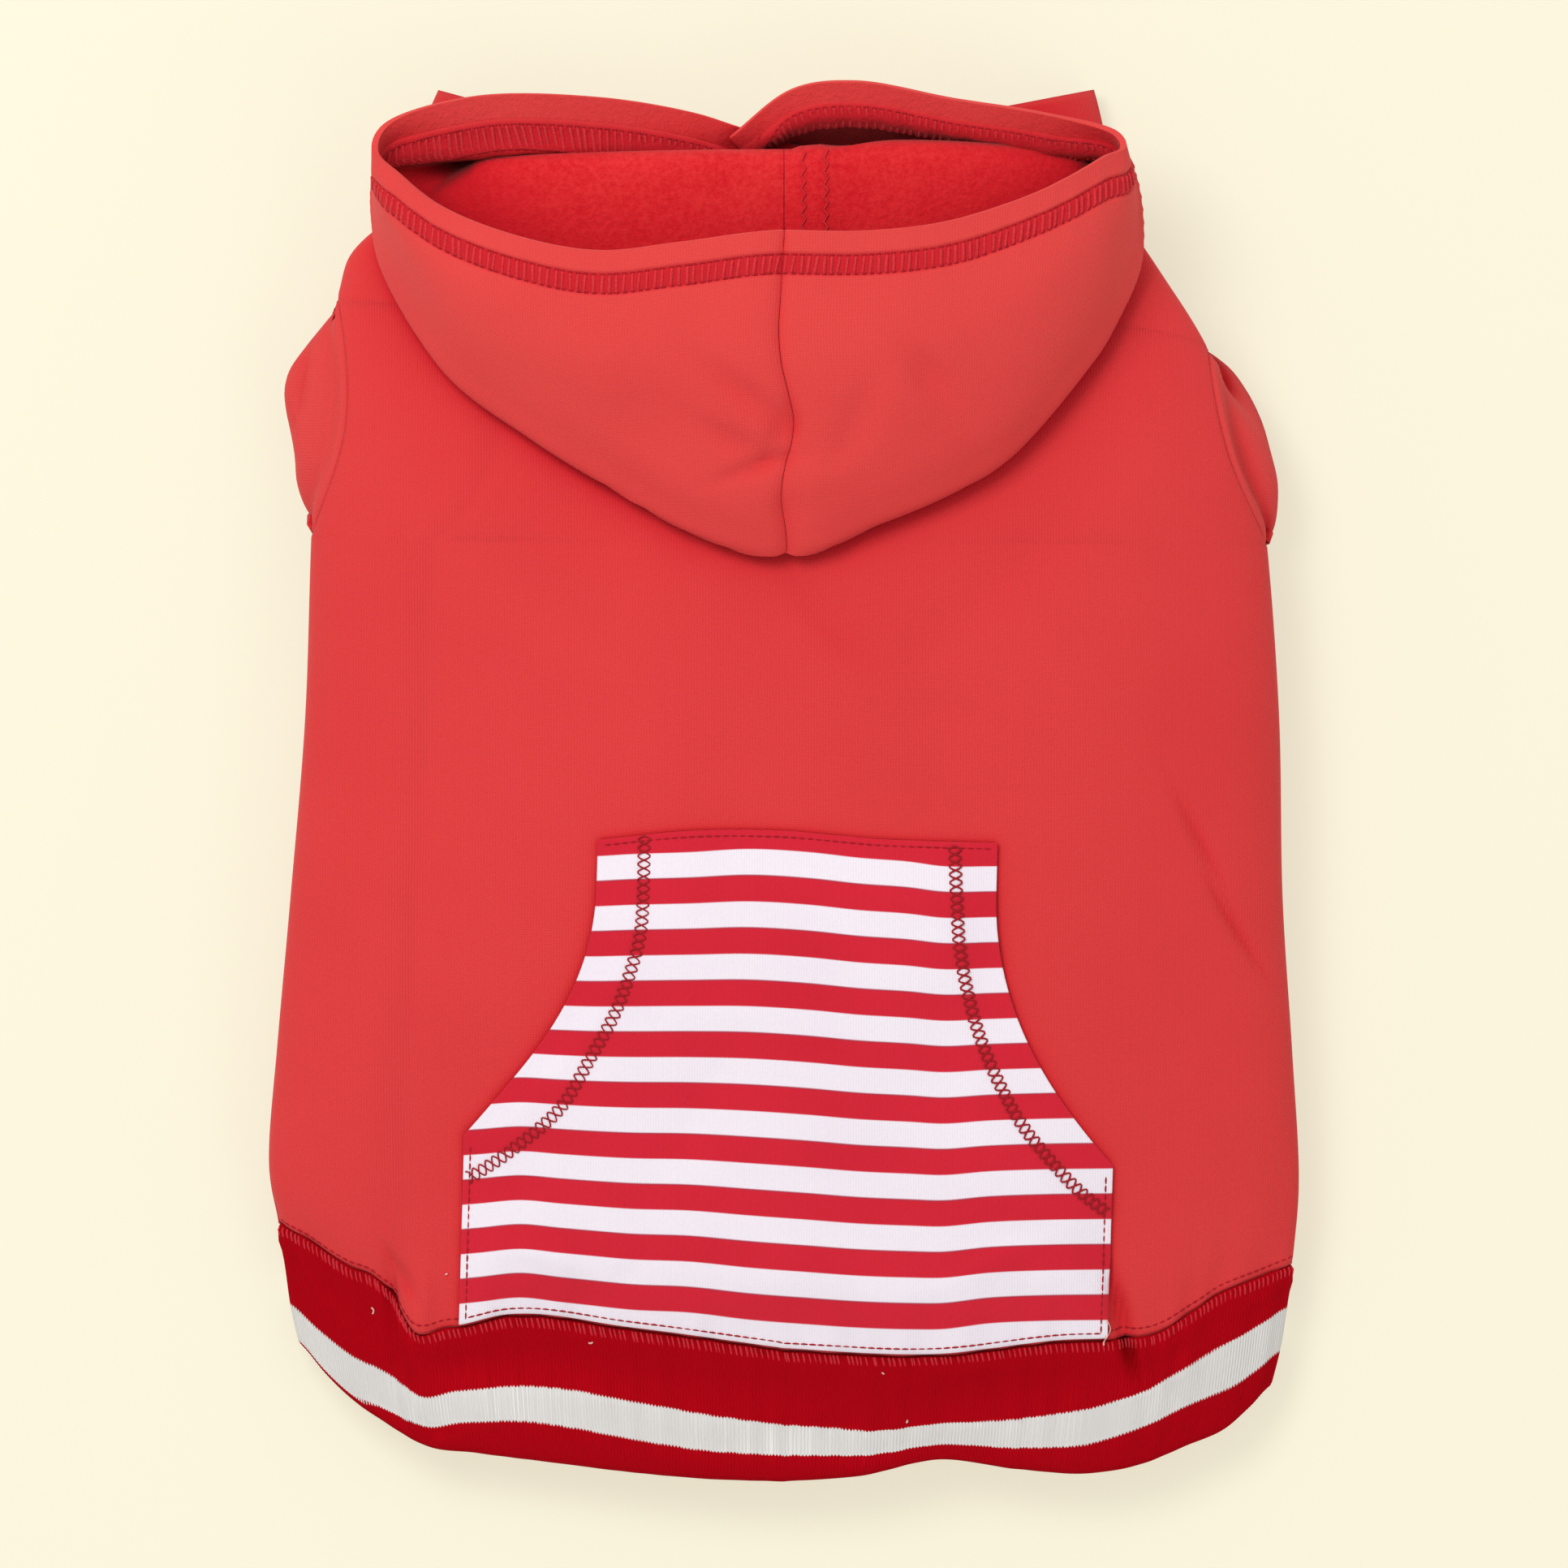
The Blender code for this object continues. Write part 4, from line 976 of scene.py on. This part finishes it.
POCKET_LENGTH = 0.161
POCKET_HALF = 0.100
POCKET_TOP_HALF = 0.0615
POCKET_SHIFT = 0.0045
JERSEY = 0.0012
POCKET_ROWS = 14, 80, 46  # above the mouths, along them and below
POCKET_COLUMNS = 121
MOUTH_FROM = 0.10
MOUTH_TO = (0.608, 0.65)
MOUTH_CURVE = 2.05
TOP_DIP = {"across": (0.00, 0.25, 0.45, 0.70, 1.00), "dip": (0.019, 0.001, 0.001, 0.017, 0.025)}
# How far a stripe lies below its middle, in mm, by mm across the back: the top and the last stripe
STRIPE_RUN = {
    "x": (-100, -94, -81, -69, -59, -48, -29, -11, 8, 23, 39, 48, 63, 81, 101),
    "top": (3.0, 3.0, 2.8, 2.6, 2.4, 1.7, 1.0, 0.0, 1.0, 2.7, 4.0, 5.3, 5.5, 5.2, 5.0),
    "last": (-5.0, -5.7, -7.2, -5.7, -4.5, -3.2, -2.2, 0.0, 1.5, 2.5, 3.0, 3.0, 1.2, 0.4, 0.2),
}
STRIPE_TOP = -0.0200
STRIPE_REPEAT = 0.0161
POCKET_RED = ((0.650, 0.012, 0.034), (0.520, 0.006, 0.020))
POCKET_WHITE = ((0.880, 0.815, 0.900), (0.790, 0.715, 0.820))
STRIPE_EDGE = (0.26, 0.03, 0.07)
POCKET_MARKS = {
    "x": (-69, -50, 66, 50, 10, -20, 62, -30, 85),
    "y": (-148, -155, -147, -92, -120, -70, -60, -105, -125),
    "long": (14, 12, 14, 20, 26, 24, 18, 22, 12),
    "wide": (5, 4, 5, 6, 7, 7, 6, 6, 5),
    "turn": (-20, 60, 24, -62, 10, -10, -60, 60, 80),
    "deep": (-1.0, 0.6, -0.9, 0.5, 0.4, -0.5, 0.4, 0.4, 0.4),
}


def pocket_half(down, mouth_to):
    """Half the pocket's width at a share of its length, its curved mouth ending at mouth_to."""
    opened = np.clip((down - MOUTH_FROM) / (mouth_to - MOUTH_FROM), 0, 1)
    return POCKET_TOP_HALF + (POCKET_HALF - POCKET_TOP_HALF) * opened**MOUTH_CURVE


def pocket_stations(mouth_to):
    """The pocket's rows down one side, as a column of shares of its length."""
    above, along, below = POCKET_ROWS
    return np.concatenate([
        np.linspace(0, MOUTH_FROM, above + 1),
        np.linspace(MOUTH_FROM, mouth_to, along + 1)[1:],
        np.linspace(mouth_to, 1, below + 1)[1:],
    ])[:, None]


def waist_seam_y(x):
    """Where the waist seam runs across the back, in the frame."""
    half = sided(x, WAIST, "left", "right")
    turn = np.arcsin(np.clip((x + MIDDLE[0]) / half, -1, 1))
    side = sided(turn, WAIST, "side_left", "side_right")
    return side + (WAIST["back"] - side) * dropped(SEAM_DROP, turn) - MIDDLE[1]


down_left, down_right = (pocket_stations(mouth_to) for mouth_to in MOUTH_TO)
left = POCKET_SHIFT * (1 - down_left) - pocket_half(down_left, MOUTH_TO[0]) - MIDDLE[0]
right = POCKET_SHIFT * (1 - down_right) + pocket_half(down_right, MOUTH_TO[1]) - MIDDLE[0]
share = np.linspace(0, 1, POCKET_COLUMNS)[None, :]
x = left + (right - left) * share
down = down_left + (down_right - down_left) * share
bottom = waist_seam_y(x) + LAYER_GAP
top = POCKET_LENGTH * (1 - read_at(TOP_DIP, "across", "dip", share)) - MIDDLE[1]
y = top + (bottom - top) * down
z = np.array([
    [resting(back_tree, *place).z for place in zip(row_x, row_y)] for row_x, row_y in zip(x, y)
])
pocket_sheet = np.stack([x, y, z + LAYER_GAP + JERSEY], axis=-1)
to_edge = to_edges(lengths_along(pocket_sheet, 1))
from_top = lengths_along(pocket_sheet, 0)
at_mouth = np.clip((down - 0.05) / 0.1, 0, 1) * np.clip((0.66 - down) / 0.05, 0, 1)
held = np.minimum(to_edges(from_top.T).T, 0.02) / 0.02
puff = 0.0012 * held * np.clip(to_edge / 0.012, 0, 1) - marked(pocket_sheet, POCKET_MARKS) * held
puff += 0.0006 * at_mouth * np.exp(-to_edge / 0.004)
pocket_sheet[..., 2] += np.maximum(puff, 0)
run_top, run_last = (read_at(STRIPE_RUN, "x", name, x * 1000) for name in ("top", "last"))
level = np.clip((STRIPE_TOP - y) / STRIPE_REPEAT / 9, 0, 1)
stripe_phase = (STRIPE_TOP - y - (run_top * (1 - level) + run_last * level) / 1000) / STRIPE_REPEAT

jersey = Finish("striped_jersey_knit", 0.85, 0.18, (1.0, 0.8, 0.85))
repeat = jersey.sum("FRACT", jersey.sum("ADD", jersey.measure(), 10.0), 0.0)
white = jersey.steps(
    repeat, (0.0, 0.5), (0.012, 1.0), (0.478, 1.0), (0.502, 0.0), (0.988, 0.0), (1.0, 0.5)
)
line = jersey.steps(repeat, (0.470, 0.0), (0.498, 0.55), (0.530, 0.0))
grain = jersey.steps(jersey.noise(1400, 3, 0.7), (0.3, 0.0), (0.8, 1.0))
broad = jersey.steps(jersey.noise(30, 2), (0.35, 0.0), (0.7, 1.0))
amount = jersey.weighted((grain, 0.5), (broad, 0.3))
red_part, white_part = jersey.blend(amount, *POCKET_RED), jersey.blend(amount, *POCKET_WHITE)
jersey.colour(jersey.blend(line, jersey.blend(white, red_part, white_part), STRIPE_EDGE))
loops = jersey.sum("ADD", jersey.noise(1800, 2, 0.6), jersey.rows(0.0008, "X", 0.5))
jersey.raise_by(loops, 0.00012, 0.6)
pocket_mesh = cloth_mesh("pocket_jersey", pocket_sheet, x, stripe_phase, flip=True)
pocket = cut_piece(pocket_mesh, JERSEY, [jersey.material], rim=0.0004)
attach(pocket, "root")
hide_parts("pocket")

# The sewing: cover stitch round the hood's rim, chain stitch along the pocket's mouths, straight
# stitches along its other edges and overlock along the waist seam, all in polyester thread.

COVER_PITCH = 0.0024
OVERLOCK_PITCH = 0.0017
POCKET_STITCH = 0.0026, 0.0021  # pitch and length
WAIST_STITCH = 0.0024, 0.0019
THIN, THICK = 0.0005, 0.0006


def spot(sheet, row, column):
    """A point of a grid between its rows and columns."""
    row = min(max(row, 0), sheet.shape[0] - 1.001)
    column = min(max(column, 0), sheet.shape[1] - 1.001)
    r, c = int(row), int(column)
    dr, dc = row - r, column - c
    first = sheet[r, c] * (1 - dc) + sheet[r, c + 1] * dc
    second = sheet[r + 1, c] * (1 - dc) + sheet[r + 1, c + 1] * dc
    return first * (1 - dr) + second * dr


def evenly(points, pitch):
    """Places along a row of points, a pitch apart, as numbers of its points."""
    gone = lengths_along(points[None], 1)[0]
    return np.interp(np.arange(pitch / 2, gone[-1], pitch), gone, np.arange(len(points)))


def threads(name, runs, thick, finish):
    """Thread along many short runs of points, as one mesh."""
    data = bpy.data.curves.new(name, "CURVE")
    data.dimensions = "3D"
    data.bevel_depth = thick / 2
    data.bevel_resolution = 0
    data.use_fill_caps = True
    for run in runs:
        spline = data.splines.new("POLY")
        spline.points.add(len(run) - 1)
        spline.points.foreach_set("co", np.insert(np.asarray(run), 3, 1, axis=1).ravel())
        plump = 0.8 + 0.4 * abs(math.sin(len(data.splines) * 12.9))
        spline.points.foreach_set("radius", np.full(len(run), plump))
    drawn = placed(name, data)
    state = bpy.context.evaluated_depsgraph_get()
    mesh = bpy.data.meshes.new_from_object(drawn.evaluated_get(state))
    bpy.data.objects.remove(drawn)
    mesh.name = name
    mesh.materials.clear()
    mesh.materials.append(finish)
    for face in mesh.polygons:
        face.use_smooth = True
    made = placed(name, mesh)
    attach(made, "root")


def thread_finish(name, light, dark):
    """Polyester thread, its twist lighter and darker in turn."""
    finish = Finish(name, 0.8, 0.1, (1.0, 0.7, 0.7))
    twist = finish.noise(2500, 2, 0.6)
    finish.colour(finish.blend(finish.steps(twist, (0.35, 0.0), (0.65, 1.0)), light, dark))
    finish.raise_by(twist, 0.0001, 0.5)
    return finish.material


chance = np.random.default_rng(11)
looper = thread_finish("looper_thread", (0.740, 0.040, 0.048), (0.560, 0.010, 0.022))
needle = thread_finish("needle_thread", (0.420, 0.004, 0.014), (0.300, 0.002, 0.008))
first, middle, last = ((HEM + LADDER * share) / COLUMN_STEP for share in (0, 0.5, 1))
# Where a bar and a needle stitch lie along their run, and how far above the cloth
bar_lifts = [
    (first + 0.2, -0.0003), (first + 2.2, 0.0002), (last - 2.2, 0.0002), (last - 0.2, -0.0003),
]
line_lifts = [(-0.42, -0.0003), (-0.2, 0.0001), (0.2, 0.0001), (0.42, -0.0003)]
for side, (sheet, out, from_centre) in hood_halves.items():
    for face_name, wall, way in (("outer", 0.0, 1.0), ("inner", FLEECE, -1.0)):
        bars, lines = [], []
        face_sheet = sheet - out * wall
        for row in evenly(face_sheet[:, int(middle)], COVER_PITCH):
            row += 0.10 * chance.standard_normal()
            slant = (0.25 if side == "left" else -0.25) + 0.12 * chance.standard_normal()
            bars.append([
                spot(face_sheet, row + slant * (column - first) / (last - first), column)
                + spot(out, row, column) * way * up
                for column, up in bar_lifts
            ])
            lines += [
                [spot(face_sheet, row + step, column) + spot(out, row, column) * way * up
                 for step, up in line_lifts]
                for column in (first, last)
            ]
        threads(f"cover_bars_{side}_{face_name}", bars, 0.0009, looper)
        threads(f"cover_lines_{side}_{face_name}", lines, THIN, needle)

# The two overlocked ridges of the seam's strip inside the nape
sheet, out, from_centre = hood_halves["right"]
ridges = []
for distance in (SEAM_STRIP[0] + 0.0009, SEAM_STRIP[1] - 0.0009):
    ridge = []
    for number, column in enumerate(np.arange(80, 124, 0.8)):
        aside = distance + (0.0007 if number % 2 else -0.0007)
        row = np.interp(aside, from_centre[:, int(column)], np.arange(sheet.shape[0]))
        ridge.append(spot(sheet, row, column) - spot(out, row, column) * (FLEECE + 0.0003))
    ridges.append(ridge)
threads("nape_overlock", ridges, THICK, looper)

# The chain stitch beside each mouth, from the pocket's top to its side edge, in mm
CHAIN = {
    "left_x": (-42.9, -43.2, -44.0, -47.0, -52.0, -58.5, -69.0, -83.5, -93.0, -97.6),
    "left_y": (-15.2, -30.0, -44.8, -57.0, -70.5, -82.3, -99.8, -112.3, -118.8, -121.2),
    "right_x": (52.4, 53.0, 54.0, 56.8, 61.0, 67.0, 74.0, 84.8, 91.5, 99.5),
    "right_y": (-18.8, -34.0, -50.3, -65.8, -80.0, -93.8, -106.0, -119.0, -125.8, -132.0),
}
CHAIN_REPEAT = 0.0050
CHAIN_HALF = 0.0019
CHAIN_STEP = 0.0005
pocket_tree = tree_of(pocket_mesh)
chain = []
for side in ("left", "right"):
    marks = np.stack([CHAIN[f"{side}_x"], CHAIN[f"{side}_y"]], axis=-1) / 1000
    path = through(range(len(marks)), marks, np.linspace(0, len(marks) - 1, 120))
    run = np.array([resting(pocket_tree, *place) for place in path])
    doubled = run[:, None].repeat(2, axis=1)
    spots = evenly(run, CHAIN_STEP)
    for phase in (0.0, math.pi):
        thread = []
        for number, place in enumerate(spots):
            ahead = spot(doubled, place + 0.5, 0) - spot(doubled, place - 0.5, 0)
            aside = np.cross(ahead, UP)
            aside /= max(np.linalg.norm(aside), 1e-9)
            swing = math.sin(number * CHAIN_STEP / CHAIN_REPEAT * 2 * math.pi + phase)
            thread.append(spot(doubled, place, 0) + aside * CHAIN_HALF * swing + UP * 0.0003)
        chain.append(thread)
threads("pocket_chain", chain, THIN, needle)


def stitch_line(sheet, places, pitch, length):
    """Short straight stitches along places of a grid, their ends sunk in the cloth."""
    run = np.array([spot(sheet, row, column) for row, column in places])
    doubled = run[:, None].repeat(2, axis=1)
    gone = lengths_along(run[None], 1)[0]
    made = []
    for start in np.arange(pitch / 2, gone[-1] - length, pitch):
        spots = np.interp([start, start + length / 2, start + length], gone, np.arange(len(run)))
        heights = -0.0002, 0.0001, -0.0002
        made.append([spot(doubled, place, 0) + UP * up for place, up in zip(spots, heights)])
    return made


pocket_top_face = pocket_sheet + UP * 0.00005
edges = [[(row, column) for row in range(96, 141)] for column in (1.3, 118.7)]
edges += [[(row, column) for column in range(1, 120)] for row in (1.7, 138.5)]
stitches = []
for edge in edges:
    stitches += stitch_line(pocket_top_face, edge, *POCKET_STITCH)
threads("pocket_edge_stitches", stitches, THIN, needle)

overlock = thread_finish("overlock_thread", (0.660, 0.022, 0.038), (0.520, 0.008, 0.020))
seam_row = len(downs) - 2
bars = []
for column in evenly(band_sheet[seam_row - 1, 20:OVER - 20], OVERLOCK_PITCH) + 20:
    column += 0.8 * chance.standard_normal()
    inner = spot(band_sheet, seam_row - 0.6, column)
    outer = spot(band_sheet, seam_row - 2.35, column + 2)
    middle = spot(band_sheet, seam_row - 1.5, column + 1)
    out = spot(band_out, seam_row - 1.5, column)
    bars.append([inner - out * 0.0001, middle + out * 0.00025, outer - out * 0.0002])
threads("waist_overlock", bars, THICK, overlock)
seam_run = [(2.6, column) for column in range(4, 197)]
stitches = stitch_line(back_sheet, seam_run, *WAIST_STITCH)
threads("waist_topstitch", stitches, THIN, needle)

# Loose bits: a few specks of pale lint caught on the cloth, and the tail of thread left hanging
# at the pocket's lower corner.

LINT = {
    "x": (-127.8, -126.5, -59.5, 38.0, -104.0, 30.5),
    "y": (-129.8, -162.3, -172.3, -196.5, -151.0, -181.5),
    "turn": (60, 100, 10, 70, 30, 150),
    "long": (2.6, 2.2, 1.4, 1.0, 0.8, 0.8),
}
lint = thread_finish("lint_fibre", (0.900, 0.560, 0.520), (0.780, 0.360, 0.340))
band_tree = tree_of(band_mesh)
strands = []
for x, y, turn, long in zip(*LINT.values()):
    angle = math.radians(turn)
    run = []
    for step in np.linspace(-0.5, 0.5, 6):
        px = (x + math.cos(angle + step) * step * long) / 1000
        py = (y + math.sin(angle + step) * step * long) / 1000
        hit = cloth_over(band_tree, px, py) or cloth_over(back_tree, px, py)
        if hit is not None:
            run.append((px, py, hit.z + 0.0003))
    if len(run) > 2:
        strands.append(run)
threads("lint", strands, THIN, lint)
tail = []
for step in np.linspace(0, 1, 14):
    px = 0.0995 + 0.0010 * math.sin(step * 5)
    py = -0.1655 - 0.0075 * step
    hits = [cloth_over(tree, px, py) for tree in (band_tree, back_tree, pocket_tree)]
    heights = [hit.z for hit in hits if hit is not None] or [tail[-1][2] - 0.0004]
    tail.append((px, py, max(heights) + 0.0004))
threads("thread_tail", [tail], THICK, lint)

# The setting: a pale floor that gives off part of its own light, so that shadows on it stay faint,
# a large soft light from the upper left, a weak one from the lower right, and a camera straight
# above with a long lens, its picture 0.483 m wide on the garment.

VIEW_WIDTH = 0.483
LENS = 600.0
SENSOR = 36.0
CAMERA_FOCUS = 0.03  # the height at which the picture is that wide
FLOOR_HALF = 6.0

floor_bm = bmesh.new()
bmesh.ops.create_grid(floor_bm, x_segments=1, y_segments=1, size=FLOOR_HALF)
bmesh.ops.translate(floor_bm, verts=floor_bm.verts, vec=(0, 0, -SEAM_GAP))
floor_mesh = bpy.data.meshes.new("floor")
floor_bm.to_mesh(floor_mesh)
floor_bm.free()
floor = placed("floor", floor_mesh)
paper = bpy.data.materials.new("floor_paper")
paper.use_nodes = True
paper_values = {
    "Base Color": (0.300, 0.290, 0.232, 1), "Emission Color": (0.650, 0.612, 0.490, 1),
    "Emission Strength": 1.0, "Roughness": 1.0, "Specular IOR Level": 0.0,
}
for name, value in paper_values.items():
    paper.node_tree.nodes["Principled BSDF"].inputs[name].default_value = value
floor_mesh.materials.append(paper)

world = bpy.data.worlds.new("studio")
world.use_nodes = True
sky = world.node_tree.nodes["Background"].inputs
sky["Color"].default_value = (1.0, 0.985, 0.955, 1)
sky["Strength"].default_value = 0.60
bpy.context.scene.world = world


def soft_light(name, place, size, energy):
    """A square light, facing the garment."""
    data = bpy.data.lights.new(name, "AREA")
    data.size = size
    data.energy = energy
    data.color = (1.0, 0.985, 0.96)
    light = placed(name, data)
    light.location = place
    light.rotation_euler = (-Vector(place)).to_track_quat("-Z", "Y").to_euler()


soft_light("key_light", (-0.8, 0.95, 1.9), 1.0, 29.0)
soft_light("fill_light", (1.2, -1.0, 1.7), 1.4, 6.0)

camera_data = bpy.data.cameras.new("camera")
camera_data.lens = LENS
camera_data.sensor_width = SENSOR
camera_data.clip_end = 60.0
camera = placed("camera", camera_data)
camera.location = (0, 0, CAMERA_FOCUS + VIEW_WIDTH / 2 / (SENSOR / 2 / LENS))
bpy.context.scene.camera = camera
bpy.context.scene.view_settings.view_transform = "Standard"
